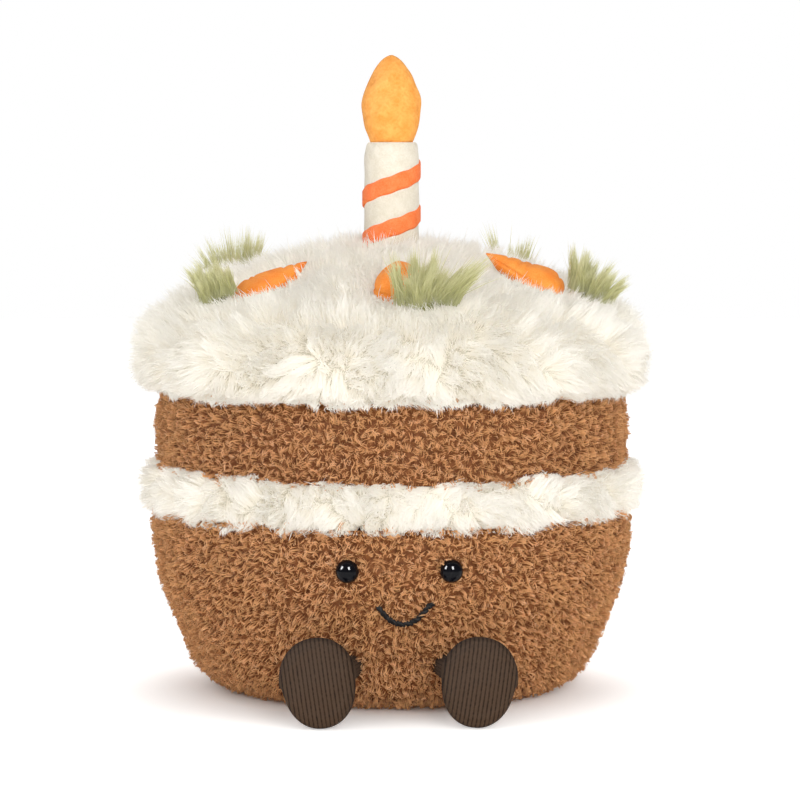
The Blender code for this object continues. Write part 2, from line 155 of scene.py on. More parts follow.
# The lower sponge: a firmly stuffed bowl of brown looped wool with a flat seat and a round heel. The wool's
# short loops are knitted into a brown backing and curl every way, so that no row shows.
SEAT_RADIUS = 61 * MM
HEEL_RADIUS = 20.5 * MM
HEEL_DEGREES = 74
KNEE_RADIUS = SEAT_RADIUS + HEEL_RADIUS * math.sin(math.radians(HEEL_DEGREES))
KNEE_Z = HEEL_RADIUS * (1 - math.cos(math.radians(HEEL_DEGREES)))
BELLY_RADIUS = 94.8 * MM
BELLY_Z = 63 * MM
LOWER_TOP_Z = 70.3 * MM
SEAM_ROUND = 2.6 * MM
LOWER_RIM = 2.7 * MM
LOWER_TOP_RINGS = (84 * MM, 48 * MM, MM)
LUMP = 17 * MM
LUMP_HEIGHT = 0.7 * MM
LUMPS_FROM_Z = 8 * MM
LOWER_LUMPS = 0.7
LOWER_FIBRES = 64000
EVEN_STEPS = (0.7548776662466927, 0.5698402909980532)
LOCK_START = 0.31
WOOL_DEPTH = 1.5 * MM
WOOL_LOCK = 2.0 * MM
WOOL_FIBRE = 0.42 * MM
WOOL_HEIGHT = (1.1 * MM, 3.2 * MM)
WOOL_REACH = (0.9 * MM, 2.6 * MM)
WOOL_HOOK = 1.2 * MM


def belly_radius(z):
    """The radius of the lower sponge's loops between its heel and its belly."""
    share = min(1, max(0, (z - KNEE_Z) / (BELLY_Z - KNEE_Z)))
    return KNEE_RADIUS + (BELLY_RADIUS - KNEE_RADIUS) * math.sin(math.pi / 2 * share)


def arc(centre_r, centre_z, radius_r, radius_z, start, end, count):
    """Points on an elliptic arc of a profile. Degrees run up from the outward direction."""
    angles = [math.radians(start + (end - start) * k / count) for k in range(count + 1)]
    return [(centre_r + radius_r * math.cos(a), centre_z + radius_z * math.sin(a)) for a in angles]


def raised(name, rings, sides):
    """Raises a round body from its foot: each ring of (radius, height) is extruded from the one below."""
    bpy.ops.object.select_all(action="DESELECT")
    bpy.ops.mesh.primitive_circle_add(vertices=sides, radius=rings[0][0], fill_type="TRIFAN",
                                      location=(0, 0, rings[0][1]))
    body = bpy.context.object
    body.name = name
    bpy.ops.object.transform_apply(location=True, rotation=False, scale=False)
    bpy.ops.object.mode_set(mode="EDIT")
    bpy.ops.mesh.select_all(action="SELECT")
    for (radius, height), (next_radius, next_height) in zip(rings, rings[1:]):
        bpy.ops.mesh.extrude_region_move(TRANSFORM_OT_translate={"value": (0, 0, next_height - height)})
        grow = next_radius / radius
        bpy.ops.transform.resize(value=(grow, grow, 1), center_override=(0, 0, next_height))
    bpy.ops.mesh.select_all(action="SELECT")
    bpy.ops.mesh.normals_make_consistent(inside=False)
    bpy.ops.object.mode_set(mode="OBJECT")
    bpy.ops.object.shade_smooth()
    return body


def points_of(obj):
    found = np.empty(len(obj.data.vertices) * 3, np.float32)
    obj.data.vertices.foreach_get("co", found)
    return found.reshape(-1, 3).astype(float)


def set_points(obj, points):
    obj.data.vertices.foreach_set("co", np.asarray(points, np.float32).ravel())
    obj.data.update()


def waves(points, size, phase):
    """A smooth unevenness between about -1 and 1, whose lumps are about size across."""
    x, y, z = (np.asarray(points) / size * 2.4).T
    total = np.sin(x + 1.3 * y + phase) + np.sin(1.7 * z - 0.8 * x + 2 * phase)
    total += np.sin(1.4 * y + 1.1 * z + 3 * phase)
    total += np.sin(2.1 * x - 1.9 * z + 4 * phase)
    return (total + np.sin(2.3 * y + 1.2 * x + 5 * phase)) / 3.2


def even_spots(profile, count, phase=0.0, share_of=None):
    """Spots spread evenly over the surface that a profile of (radius, height), from the top down, turns
    round +Z. Returns the points and the directions out of the surface, down the profile and round the toy."""
    rings = np.array(profile)
    step = np.diff(rings, axis=0)
    length = np.linalg.norm(step, axis=1)
    slope = step / length[:, None]
    slope = np.vstack([slope[:1], (slope[1:] + slope[:-1]) / 2, slope[-1:]])
    area = length * (rings[1:, 0] + rings[:-1, 0]) / 2
    if share_of is not None:
        area = area * np.array([share_of((low + high) / 2) for low, high in zip(rings, rings[1:])])
    reached = np.concatenate([[0], np.cumsum(area)])
    k = np.arange(count)
    turn = (phase + k * EVEN_STEPS[0]) % 1 * 2 * math.pi
    depth = (phase + k * EVEN_STEPS[1]) % 1 * reached[-1]
    part = np.clip(np.searchsorted(reached, depth, side="right") - 1, 0, len(area) - 1)
    share = ((depth - reached[part]) / area[part])[:, None]
    spot = rings[part] * (1 - share) + rings[part + 1] * share
    lean = slope[part] * (1 - share) + slope[part + 1] * share
    lean /= np.linalg.norm(lean, axis=1)[:, None]
    c, s = np.cos(turn), np.sin(turn)
    points = np.stack([spot[:, 0] * c, spot[:, 0] * s, spot[:, 1]], 1)
    out = np.stack([-lean[:, 1] * c, -lean[:, 1] * s, lean[:, 0]], 1)
    down = np.stack([lean[:, 0] * c, lean[:, 0] * s, lean[:, 1]], 1)
    return points, out, down, np.stack([-s, c, 0 * c], 1)


def mesh_from(name, points, faces, **marks):
    """A new object from rows of points and lists of faces. Each mark is a value kept on every point."""
    mesh = bpy.data.meshes.new(name)
    corners = np.concatenate([np.asarray(rows, np.int32).ravel() for rows in faces])
    sizes = np.concatenate([np.full(len(rows), rows.shape[1], np.int32) for rows in faces])
    mesh.vertices.add(len(points))
    mesh.vertices.foreach_set("co", np.asarray(points, np.float32).ravel())
    mesh.loops.add(len(corners))
    mesh.loops.foreach_set("vertex_index", corners)
    mesh.polygons.add(len(sizes))
    mesh.polygons.foreach_set("loop_start", np.concatenate([[0], np.cumsum(sizes)[:-1]]).astype(np.int32))
    mesh.polygons.foreach_set("use_smooth", np.ones(len(sizes), bool))
    mesh.update(calc_edges=True)
    for mark, values in marks.items():
        kept = mesh.attributes.new(mark, "FLOAT", "POINT")
        kept.data.foreach_set("value", np.asarray(values, np.float32).ravel())
    obj = bpy.data.objects.new(name, mesh)
    bpy.context.scene.collection.objects.link(obj)
    return obj


def unit(rows):
    return rows / np.maximum(np.linalg.norm(rows, axis=-1, keepdims=True), 1e-9)


def turned_area(profile):
    """The area of the surface that a profile turns round +Z."""
    rings = np.array(profile)
    return np.sum(np.linalg.norm(np.diff(rings, axis=0), axis=1) * math.pi * (rings[1:, 0] + rings[:-1, 0]))


def gathered(points, lock_points):
    """The number of the nearest lock for each point."""
    tree = KDTree(len(lock_points))
    for number, place in enumerate(lock_points):
        tree.insert(place, number)
    tree.balance()
    return np.array([tree.find(place)[1] for place in points])


def strands(name, stations, side, halves, tones, dye):
    """Flat fibres, each from its root through one or more stations to a pointed tip. Side is the direction of
    a fibre's width, and halves are its half widths at the stations before the tip."""
    rows, marks = [], []
    for station, half, tone in zip(stations, halves, tones):
        rows += [station - side * half, station + side * half]
        marks += [tone, tone]
    rows.append(stations[-1])
    marks.append(tones[-1])
    each = len(rows)
    base = (np.arange(len(side)) * each)[:, None]
    quads = [base + np.array([k, k + 1, k + 3, k + 2]) for k in range(0, each - 3, 2)]
    tips = base + np.array([each - 3, each - 2, each - 1])
    return mesh_from(name, np.stack(rows, 1).reshape(-1, 3), [np.concatenate(quads), tips],
                     tone=np.clip(np.stack(marks, 1), 0, 1), dye=np.repeat(dye, each))


def strand_effect():
    """Colour along a strand from its root to its tip, and a little apart from strand to strand."""
    group = bpy.data.node_groups.new("strand_colour", "ShaderNodeTree")
    for name, kind in (("Root", "NodeSocketColor"), ("Middle", "NodeSocketColor"), ("Tip", "NodeSocketColor"),
                       ("Dyed", "NodeSocketColor"), ("Dye share", "NodeSocketFloat")):
        group.interface.new_socket(name, in_out="INPUT", socket_type=kind)
    group.interface.new_socket("Colour", in_out="OUTPUT", socket_type="NodeSocketColor")
    group.interface.new_socket("Roughness", in_out="OUTPUT", socket_type="NodeSocketFloat")
    group.interface.new_socket("Painted glow", in_out="OUTPUT", socket_type="NodeSocketColor")
    n, link = group.nodes, group.links.new
    given, made = n.new("NodeGroupInput"), n.new("NodeGroupOutput")
    # The shade tone paints shade into the colour: darker at the roots and partings of the pile.
    tone, dye = n.new("ShaderNodeAttribute"), n.new("ShaderNodeAttribute")
    tone.attribute_name, dye.attribute_name = "tone", "dye"
    lower, upper, spread = (n.new("ShaderNodeMapRange") for _ in range(3))
    lower.inputs["From Max"].default_value = 0.55
    upper.inputs["From Min"].default_value = 0.55
    mixes = []
    for _ in range(3):
        mix = n.new("ShaderNodeMix")
        mix.data_type = "RGBA"
        mixes.append(mix)
    link(tone.outputs["Fac"], lower.inputs["Value"])
    link(tone.outputs["Fac"], upper.inputs["Value"])
    link(lower.outputs["Result"], mixes[0].inputs["Factor"])
    link(given.outputs["Root"], mixes[0].inputs["A"])
    link(given.outputs["Middle"], mixes[0].inputs["B"])
    link(upper.outputs["Result"], mixes[1].inputs["Factor"])
    link(mixes[0].outputs["Result"], mixes[1].inputs["A"])
    link(given.outputs["Tip"], mixes[1].inputs["B"])
    link(dye.outputs["Fac"], spread.inputs["Value"])
    link(given.outputs["Dye share"], spread.inputs["To Max"])
    link(spread.outputs["Result"], mixes[2].inputs["Factor"])
    link(mixes[1].outputs["Result"], mixes[2].inputs["A"])
    link(given.outputs["Dyed"], mixes[2].inputs["B"])
    link(mixes[2].outputs["Result"], made.inputs["Colour"])
    worn = n.new("ShaderNodeMapRange")
    worn.inputs["To Min"].default_value, worn.inputs["To Max"].default_value = 0.95, 0.72
    link(dye.outputs["Fac"], worn.inputs["Value"])
    link(worn.outputs["Result"], made.inputs["Roughness"])
    # Painted light: an emission of the tip colour, strongest at the root and faint at the tip.
    deep, painted_glow = n.new("ShaderNodeMapRange"), n.new("ShaderNodeVectorMath")
    deep.inputs["To Min"].default_value, deep.inputs["To Max"].default_value = 1.3, 0.15
    painted_glow.operation = "SCALE"
    link(tone.outputs["Fac"], deep.inputs["Value"])
    link(given.outputs["Tip"], painted_glow.inputs[0])
    link(deep.outputs["Result"], painted_glow.inputs["Scale"])
    link(painted_glow.outputs["Vector"], made.inputs["Painted glow"])
    return group


STRAND = strand_effect()


def strand_finish(name, root, middle, tip, dyed, dye_share, lets_light, painted_glow):
    """Fibres that pass some light through. The painted glow is an emission that stands for light that
    scatters on deep inside the pile.
    """
    made, nodes, links, shader = new_finish(name)
    strand = nodes.new("ShaderNodeGroup")
    strand.node_tree = STRAND
    for socket, colour in (("Root", root), ("Middle", middle), ("Tip", tip), ("Dyed", dyed)):
        strand.inputs[socket].default_value = (*colour, 1)
    strand.inputs["Dye share"].default_value = dye_share
    links.new(strand.outputs["Colour"], shader.inputs["Base Color"])
    links.new(strand.outputs["Roughness"], shader.inputs["Roughness"])
    shader.inputs["Specular IOR Level"].default_value = 0.12
    links.new(strand.outputs["Painted glow"], shader.inputs["Emission Color"])
    shader.inputs["Emission Strength"].default_value = painted_glow / (1 - lets_light)
    through, both = nodes.new("ShaderNodeBsdfTranslucent"), nodes.new("ShaderNodeMixShader")
    links.new(strand.outputs["Colour"], through.inputs["Color"])
    both.inputs["Fac"].default_value = lets_light
    links.new(shader.outputs[0], both.inputs[1])
    links.new(through.outputs[0], both.inputs[2])
    links.new(both.outputs[0], nodes["Material Output"].inputs["Surface"])
    return made


def noise_in(nodes, links, scale, detail=2):
    """The value of a fine noise that stays with the piece."""
    where, noise = nodes.new("ShaderNodeTexCoord"), nodes.new("ShaderNodeTexNoise")
    noise.inputs["Scale"].default_value, noise.inputs["Detail"].default_value = scale, detail
    links.new(where.outputs["Object"], noise.inputs["Vector"])
    return noise.outputs["Fac"]


def two_tone(nodes, links, shader, mask, deep, pale, ends=(0, 1)):
    """Colours a finish from deep to pale by a mask, which is read between two ends."""
    colour = nodes.new("ShaderNodeValToRGB")
    for stop, end, shade in zip(colour.color_ramp.elements, ends, (deep, pale)):
        stop.position, stop.color = end, (*shade, 1)
    links.new(mask, colour.inputs["Fac"])
    links.new(colour.outputs["Color"], shader.inputs["Base Color"])
    return colour.color_ramp


def low_relief(nodes, links, shader, height, distance, strength=1.0):
    relief = nodes.new("ShaderNodeBump")
    relief.inputs["Distance"].default_value, relief.inputs["Strength"].default_value = distance, strength
    links.new(height, relief.inputs["Height"])
    links.new(relief.outputs["Normal"], shader.inputs["Normal"])


def backing_finish(name, deep, pale, grain):
    """Knitted backing cloth, seen only between the strands. Its dark colour is painted shade."""
    made, nodes, links, shader = new_finish(name)
    grains = noise_in(nodes, links, 1 / grain, 3)
    two_tone(nodes, links, shader, grains, deep, pale, (0.35, 0.68))
    low_relief(nodes, links, shader, grains, 0.8 * MM)
    shader.inputs["Roughness"].default_value = 0.95
    shader.inputs["Specular IOR Level"].default_value = 0.1
    return made


# Painted shade: the wool's dark root colour and its darker backing stand for shade deep in the pile.
WOOL = strand_finish("sponge_wool", (0.34, 0.145, 0.045), (0.74, 0.375, 0.162), (0.87, 0.56, 0.335),
                     (0.66, 0.355, 0.132), 0.6, lets_light=0.3, painted_glow=0.042)
WOOL_BACKING = backing_finish("sponge_backing", (0.12, 0.042, 0.014), (0.26, 0.10, 0.036), 2.2 * MM)


def dress(piece, finish, slot, *stands_for):
    """Gives a piece its finish, and says what it rides on and the solids that it stands for.
    The slot is not used.
    """
    piece.data.materials.clear()
    piece.data.materials.append(finish)
    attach(piece, "root")
    if stands_for:
        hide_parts(*stands_for)


shoulder_z = LOWER_TOP_Z + LOWER_RIM - SEAM_ROUND
shoulder = arc(BELLY_RADIUS - SEAM_ROUND, shoulder_z, SEAM_ROUND, SEAM_ROUND, 60, 0, 3)
side_heights = [BELLY_Z - (BELLY_Z - KNEE_Z) * k / 16 for k in range(16)]
heel = arc(SEAT_RADIUS, HEEL_RADIUS, HEEL_RADIUS, HEEL_RADIUS, HEEL_DEGREES - 90, -90, 8)
lower_profile = [*shoulder, *[(belly_radius(z), z) for z in side_heights], *heel]
lower_profile += [(SEAT_RADIUS * share, 0) for share in (0.8, 0.6, 0.4, 0.2, 0.02)]


def sunk(profile, depth):
    """The same profile, moved into the body by a depth."""
    rings = np.array(profile)
    slope = np.gradient(rings, axis=0)
    slope /= np.linalg.norm(slope, axis=1)[:, None]
    return [tuple(row) for row in rings - np.stack([-slope[:, 1], slope[:, 0]], 1) * depth]


def plumped(points, phase):
    """Moves points in and out with the lumps of the stuffing, which fade towards the seat."""
    points = points.copy()
    rise = waves(points, LUMP, phase) * LUMP_HEIGHT * np.clip(points[:, 2] / LUMPS_FROM_Z, 0, 1)
    points[:, :2] += unit(points[:, :2]) * rise[:, None]
    return points


lower_backing = sunk(lower_profile, WOOL_DEPTH)
lower_top = [(radius, LOWER_TOP_Z - WOOL_DEPTH) for radius in LOWER_TOP_RINGS]
sponge_lower = raised("sponge_lower_body", [*reversed(lower_backing), *lower_top], 160)
set_points(sponge_lower, plumped(points_of(sponge_lower), LOWER_LUMPS))
dress(sponge_lower, WOOL_BACKING, "sponge", "sponge_lower")


def curl_wool(name, profile, fibres, seed, phase, share_of=None):
    """Short curly pile: fine fibres gathered in small hooked locks that point every way."""
    draw = np.random.default_rng(seed)
    count = int(turned_area(profile) / WOOL_LOCK**2)
    locks, out, down, round_toy = even_spots(profile, count, LOCK_START, share_of)
    locks = plumped(locks + draw.normal(0, 0.25 * WOOL_LOCK, locks.shape), phase)
    angle = draw.uniform(0, 2 * math.pi, count)[:, None]
    along = down * np.cos(angle) + round_toy * np.sin(angle)
    aside = np.cross(out, along)
    stands = draw.uniform(0, 1, count)
    high = (WOOL_HEIGHT[0] + (WOOL_HEIGHT[1] - WOOL_HEIGHT[0]) * stands)[:, None]
    far = draw.uniform(*WOOL_REACH, count)[:, None]
    hook = draw.uniform(-1, 1, count)[:, None] * WOOL_HOOK
    lock_middle = out * high + along * far * 0.3 + aside * hook
    lock_tip = out * high * draw.uniform(0.35, 1.05, count)[:, None] + along * far - aside * hook * 0.6
    roots, root_out, _, _ = even_spots(profile, fibres, share_of=share_of)
    roots = plumped(roots, phase)
    lock = gathered(roots, locks)
    apart = roots - locks[lock]
    middles = locks[lock] + lock_middle[lock] + apart * draw.uniform(0.4, 1.0, fibres)[:, None]
    tips = locks[lock] + lock_tip[lock] + apart * draw.uniform(0.0, 0.8, fibres)[:, None]
    middles += draw.normal(0, 0.22 * MM, middles.shape)
    tips += draw.normal(0, 0.4 * MM, tips.shape)
    way = unit(tips - roots)
    side = unit(np.cross(way, root_out))
    twist = draw.uniform(-0.7, 0.7, fibres)[:, None]
    side = side * np.cos(twist) + np.cross(side, way) * np.sin(twist)
    half = WOOL_FIBRE / 2 * draw.uniform(0.7, 1.3, fibres)[:, None]
    inner = np.clip(1 - np.linalg.norm(apart, axis=1) / WOOL_LOCK, 0, 1)
    # Painted shade: fibres darker at the root, towards a lock's edge and on the locks that stand lower.
    middle_tone = 0.12 + 0.42 * stands[lock] + 0.25 * inner + draw.normal(0, 0.08, fibres)
    tip_tone = 0.42 + 0.42 * stands[lock] + draw.normal(0, 0.12, fibres)
    patch = waves(locks, 12 * MM, phase + 1) * 0.35 + draw.uniform(0.2, 0.8, count)
    dye = np.clip(patch[lock] + draw.normal(0, 0.12, fibres), 0, 1)
    tones = (0 * inner, middle_tone, tip_tone)
    return strands(name, (roots, middles, tips), side, (half * 0.9, half), tones, dye)


def seat_share(ring):
    """Fewer fibres grow under the seat, where they are squashed flat."""
    return 0.3 if ring[0] < SEAT_RADIUS - 2 * MM else 1


wool = curl_wool("sponge_lower_wool", lower_backing, LOWER_FIBRES, 11, LOWER_LUMPS, seat_share)
pile = points_of(wool)
pile[:, 2] = np.maximum(pile[:, 2], 0.05 * MM)
set_points(wool, pile)
dress(wool, WOOL, "sponge", "sponge_lower")

# The boots: two stuffed ovals of brown corduroy whose wales run up and down, each sewn from a front and a
# back with the seam round its rim, on a short corduroy leg that is sewn under the belly.
BOOT_HALF = (14.0 * MM, 16.8 * MM)
BOOT_DEPTH = 6 * MM
BOOT_ROUND = 5 * MM
BOOT_SQUARE = 2.15
BOOT_PUFF = 2 * MM
BOOT_CENTRE = (29.5 * MM, -106 * MM, 16.8 * MM)
BOOTS_ASIDE = -0.7 * MM
BOOT_SPLAY = math.radians(8)
BOOT_LEAN = math.radians(-5)
WALE = 1.55 * MM
WALE_DEPTH = 0.28 * MM
WELT_INSET = 1.9 * MM
WELT_DEPTH = 0.5 * MM
LEG_RADIUS = 4.2 * MM
LEG_WIDENS = 2.2 * MM
LEG_FLARES = 3 * MM
LEG_RINGS = 24
LEG_WALES = 22
LEG_HIP = Vector((15.5 * MM, -75 * MM, 19 * MM))


def corduroy_finish():
    """Dark velvet ribs, painted paler on their crowns as a highlight and darker in their deep gaps as
    shade, and short pile that mottles the ribs.
    """
    made, nodes, links, shader = new_finish("corduroy")
    rib = nodes.new("ShaderNodeAttribute")
    rib.attribute_name = "rib"
    pile = noise_in(nodes, links, 900)
    mottle = nodes.new("ShaderNodeMath")
    mottle.operation = "MULTIPLY_ADD"
    mottle.inputs[1].default_value = 0.7
    links.new(pile, mottle.inputs[0])
    links.new(rib.outputs["Fac"], mottle.inputs[2])
    shades = two_tone(nodes, links, shader, mottle.outputs[0], (0.007, 0.0036, 0.0022), (0.058, 0.034, 0.020),
                      (0.25, 1.35 / 1.6))
    shades.elements.new(0.6).color = (0.032, 0.0172, 0.0095, 1)
    low_relief(nodes, links, shader, pile, 0.25 * MM, 0.6)
    shader.inputs["Roughness"].default_value = 0.85
    shader.inputs["Specular IOR Level"].default_value = 0.06
    return made


CORDUROY = corduroy_finish()


def mark(obj, name, values):
    obj.data.attributes.new(name, "FLOAT", "POINT").data.foreach_set("value", np.asarray(values, np.float32))


def join_into(first, *others):
    bpy.ops.object.select_all(action="DESELECT")
    for piece in (first, *others):
        piece.select_set(True)
    bpy.context.view_layer.objects.active = first
    bpy.ops.object.join()
    return first


def close_up(obj, within):
    """Merges doubled points and turns every face outwards."""
    bpy.ops.object.select_all(action="DESELECT")
    obj.select_set(True)
    bpy.context.view_layer.objects.active = obj
    bpy.ops.object.mode_set(mode="EDIT")
    bpy.ops.mesh.select_all(action="SELECT")
    bpy.ops.mesh.remove_doubles(threshold=within)
    bpy.ops.mesh.normals_make_consistent(inside=False)
    bpy.ops.object.mode_set(mode="OBJECT")


def boot_face(name, front):
    """One side of a boot: a grid of wales gathered to the oval rim, crowned over the stuffing."""
    bpy.ops.object.select_all(action="DESELECT")
    bpy.ops.mesh.primitive_grid_add(x_subdivisions=110, y_subdivisions=56, size=2)
    face = bpy.context.object
    face.name = name
    u, v, _ = points_of(face).T
    u = 0.72 * u + 0.28 * np.sin(math.pi / 2 * u)
    v = 0.45 * v + 0.55 * np.sin(math.pi / 2 * v)
    across, high = BOOT_HALF
    x = across * u
    z = high * v * np.maximum(0, 1 - np.abs(u) ** BOOT_SQUARE) ** (1 / BOOT_SQUARE)
    inset = (1 - np.clip(np.abs(x / across) ** BOOT_SQUARE + np.abs(z / high) ** BOOT_SQUARE, 0, 1)
             ** (1 / BOOT_SQUARE)) * across
    x = x * (1 + 0.04 * v)
    rim = np.sqrt(np.clip(1 - (1 - np.clip(inset / BOOT_ROUND, 0, 1)) ** 2, 0, 1))
    puff = BOOT_PUFF * np.clip((inset - BOOT_ROUND) / (across - BOOT_ROUND), 0, 1) ** 0.8
    depth = (BOOT_DEPTH - BOOT_ROUND) * np.clip(inset / (1.2 * MM), 0, 1) + BOOT_ROUND * rim
    depth += puff if front else 0
    rounded = (0.5 + 0.5 * np.cos(2 * math.pi * x / WALE)) ** 0.7
    fades = np.clip(inset / (1.6 * MM), 0, 1)
    depth += (rounded - 0.6) * WALE_DEPTH * fades
    depth -= WELT_DEPTH * np.exp(-(((inset - WELT_INSET) / (0.5 * MM)) ** 2)) * (1 if front else 0)
    depth += waves(np.stack([x, 0 * x, z], 1), 9 * MM, 1.0 if front else 2.0) * 0.25 * MM * fades
    set_points(face, np.stack([x, -depth if front else depth, z], 1))
    # Painted highlight on the wales' crowns and painted shade in their gaps, fading towards the rim.
    mark(face, "rib", rounded * (0.55 + 0.45 * fades))
    return face


def boot(side, name):
    foot = join_into(boot_face(name, True), boot_face(name + "_back", False))
    close_up(foot, 0.02 * MM)
    bpy.ops.object.shade_smooth()
    centre = Vector((side * BOOT_CENTRE[0] + BOOTS_ASIDE, BOOT_CENTRE[1], BOOT_CENTRE[2]))
    foot.data.transform(Matrix.Translation(centre) @ Matrix.Rotation(side * BOOT_SPLAY, 4, "Y")
                        @ Matrix.Rotation(BOOT_LEAN, 4, "X"))
    hip = Vector((side * LEG_HIP[0], LEG_HIP[1], LEG_HIP[2]))
    reach = (centre - hip).length
    shares = [k / LEG_RINGS for k in range(LEG_RINGS)]
    rings = [(LEG_RADIUS + LEG_WIDENS * s + LEG_FLARES * s**4, reach * s) for s in shares]
    leg = raised(name + "_leg", rings, 120)
    turned = points_of(leg)
    around = np.arctan2(turned[:, 1], turned[:, 0])
    rib = np.sqrt(0.5 + 0.5 * np.cos(around * LEG_WALES))
    turned[:, :2] *= 1 + 0.045 * (rib[:, None] - 0.5) + 0.05 * waves(turned, 8 * MM, 1.0)[:, None]
    set_points(leg, turned)
    # The leg's wales get the same painted highlight on their crowns and painted shade between them.
    mark(leg, "rib", rib)
    leg.data.transform(Matrix.Translation(hip) @ (centre - hip).to_track_quat("Z", "Y").to_matrix().to_4x4())
    dress(foot, CORDUROY, "boot", name)
    dress(leg, CORDUROY, "boot", name)


boot(-1, "boot_left")
boot(1, "boot_right")

# The eyes: two round black beads of glossy plastic. Each has a shank at its back, and the thread through it
# pulls the bead a little into the wool.
EYE_RADIUS = 4.4 * MM
EYE_X = 19.4 * MM
EYE_Z = 56.4 * MM
EYE_PROUD = 0.3 * MM


def on_sponge(x, z, out):
    """The point of the lower sponge's front at that x and z, moved out by a distance."""
    radius = belly_radius(z) + out
    return Vector((x, -math.sqrt(radius * radius - x * x), z))


def bead_finish():
    made, nodes, links, shader = new_finish("black_bead")
    haze, wear = noise_in(nodes, links, 350), nodes.new("ShaderNodeMapRange")
    two_tone(nodes, links, shader, haze, (0.002, 0.002, 0.003), (0.006, 0.006, 0.008))
    wear.inputs["To Min"].default_value, wear.inputs["To Max"].default_value = 0.05, 0.11
    links.new(haze, wear.inputs["Value"])
    links.new(wear.outputs["Result"], shader.inputs["Roughness"])
    shader.inputs["Specular IOR Level"].default_value = 0.12
    return made


BEAD = bead_finish()


def eye(side, name):
    """A ball whose back is pulled flat round the shank."""
    bpy.ops.object.select_all(action="DESELECT")
    bpy.ops.mesh.primitive_uv_sphere_add(segments=48, ring_count=32, radius=EYE_RADIUS)
    bead = bpy.context.object
    bead.name = name + "_bead"
    ball = points_of(bead)
    back = np.clip(ball[:, 1] / EYE_RADIUS, 0, 1)
    ball[:, 1] -= back**2 * EYE_RADIUS * 0.35
    ball[:, 1] = np.where(ball[:, 1] < 0, ball[:, 1] * 0.96, ball[:, 1])
    set_points(bead, ball)
    bpy.ops.object.shade_smooth()
    turn = Matrix.Rotation(math.atan2(side * EYE_X, BELLY_RADIUS), 4, "Z")
    bead.data.transform(Matrix.Translation(on_sponge(side * EYE_X, EYE_Z, EYE_PROUD)) @ turn)
    dress(bead, BEAD, "bead", name)


eye(-1, "eye_left")
eye(1, "eye_right")

# The smile: black embroidery yarn, sewn in back stitches that each overlap the last, with a short tail stitch
# at the right corner. Two plies are twisted into the yarn.
SMILE_X = 1.5 * MM
SMILE_HALF_WIDTH = 9.3 * MM
SMILE_CORNER_Z = 43 * MM
SMILE_DEPTH = 6.8 * MM
YARN_RADIUS = 1.05 * MM
YARN_TWIST = 2.6 * math.pi
PLY_SIDES = 8
STITCHES = 7
STITCH_POINTS = 14
TAIL_POINTS = 12


def smile_point(share, out):
    z = SMILE_CORNER_Z - SMILE_DEPTH * (1 - abs(share) ** 2.2)
    return on_sponge(SMILE_X + SMILE_HALF_WIDTH * share, z, out)


def ply(line, radius, twist, phase):
    """One ply of a twisted yarn round a line of points, closed at both ends."""
    line = np.array(line)
    way = unit(np.gradient(line, axis=0))
    left = unit(np.cross(way, (0, 0, 1.0)))
    up = np.cross(way, left)
    share = np.linspace(0, 1, len(line))
    taper = np.sqrt(np.clip(1 - (2 * share - 1) ** 6, 0.02, 1))
    turn = phase + twist * share
    core = line + (left * np.cos(turn)[:, None] + up * np.sin(turn)[:, None]) * radius * 0.42
    rows = []
    for k in range(PLY_SIDES):
        a = 2 * math.pi * k / PLY_SIDES
        rows.append(core + (left * math.cos(a) + up * math.sin(a)) * (radius * 0.66 * taper)[:, None])
    points = np.concatenate([np.stack(rows, 1).reshape(-1, 3), core[:1], core[-1:]])
    base = (np.arange(len(line) - 1) * PLY_SIDES)[:, None]
    pairs = [(k, (k + 1) % PLY_SIDES) for k in range(PLY_SIDES)]
    sides = [base + np.array([a, b, PLY_SIDES + b, PLY_SIDES + a]) for a, b in pairs]
    last, count = (len(line) - 1) * PLY_SIDES, len(line) * PLY_SIDES
    ends = np.array([[count, b, a] for a, b in pairs] + [[count + 1, last + a, last + b] for a, b in pairs])
    return points, np.concatenate(sides), ends


def sewn(name, lines, radius, twist):
    """A row of yarn stitches of two plies each, as one mesh."""
    points, sides, ends, count = [], [], [], 0
    for line in lines:
        for phase in (0, math.pi):
            more, quads, caps = ply(line, radius, twist, phase)
            points.append(more)
            sides.append(quads + count)
            ends.append(caps + count)
            count += len(more)
    made = mesh_from(name, np.concatenate(points), [np.concatenate(sides), np.concatenate(ends)])
    close_up(made, 0.001 * MM)
    return made


def yarn_finish():
    made, nodes, links, shader = new_finish("smile_yarn")
    fibre = noise_in(nodes, links, 2500)
    two_tone(nodes, links, shader, fibre, (0.003, 0.0025, 0.0025), (0.014, 0.012, 0.011))
    low_relief(nodes, links, shader, fibre, 0.12 * MM)
    shader.inputs["Roughness"].default_value = 0.7
    shader.inputs["Specular IOR Level"].default_value = 0.1
    return made


def lift(count):
    """How a stitch rises out of the wool and dives back, from 0 to 1 and back to 0."""
    return np.sin(np.linspace(0, math.pi, count)) ** 0.6


stitches = []
for k in range(STITCHES):
    shares = np.linspace(2 * k / STITCHES - 1.03, 2 * (k + 1) / STITCHES - 0.93, STITCH_POINTS)
    stitches.append([smile_point(max(-1.02, min(1.02, share)), (-0.2 + 1.3 * up) * MM)
                     for share, up in zip(shares, lift(STITCH_POINTS))])
corner = smile_point(1.0, 0)
tail = [corner + Vector(((2.4 * t - 0.3) * MM, 0, (1.3 * t - 0.3) * MM))
        for t in np.linspace(-0.1, 1, TAIL_POINTS)]
stitches.append([on_sponge(p.x, p.z, (-0.5 + 1.4 * up) * MM) for p, up in zip(tail, lift(TAIL_POINTS))])
smile = sewn("smile_stitches", stitches, YARN_RADIUS, YARN_TWIST)
dress(smile, yarn_finish(), "thread", "smile")

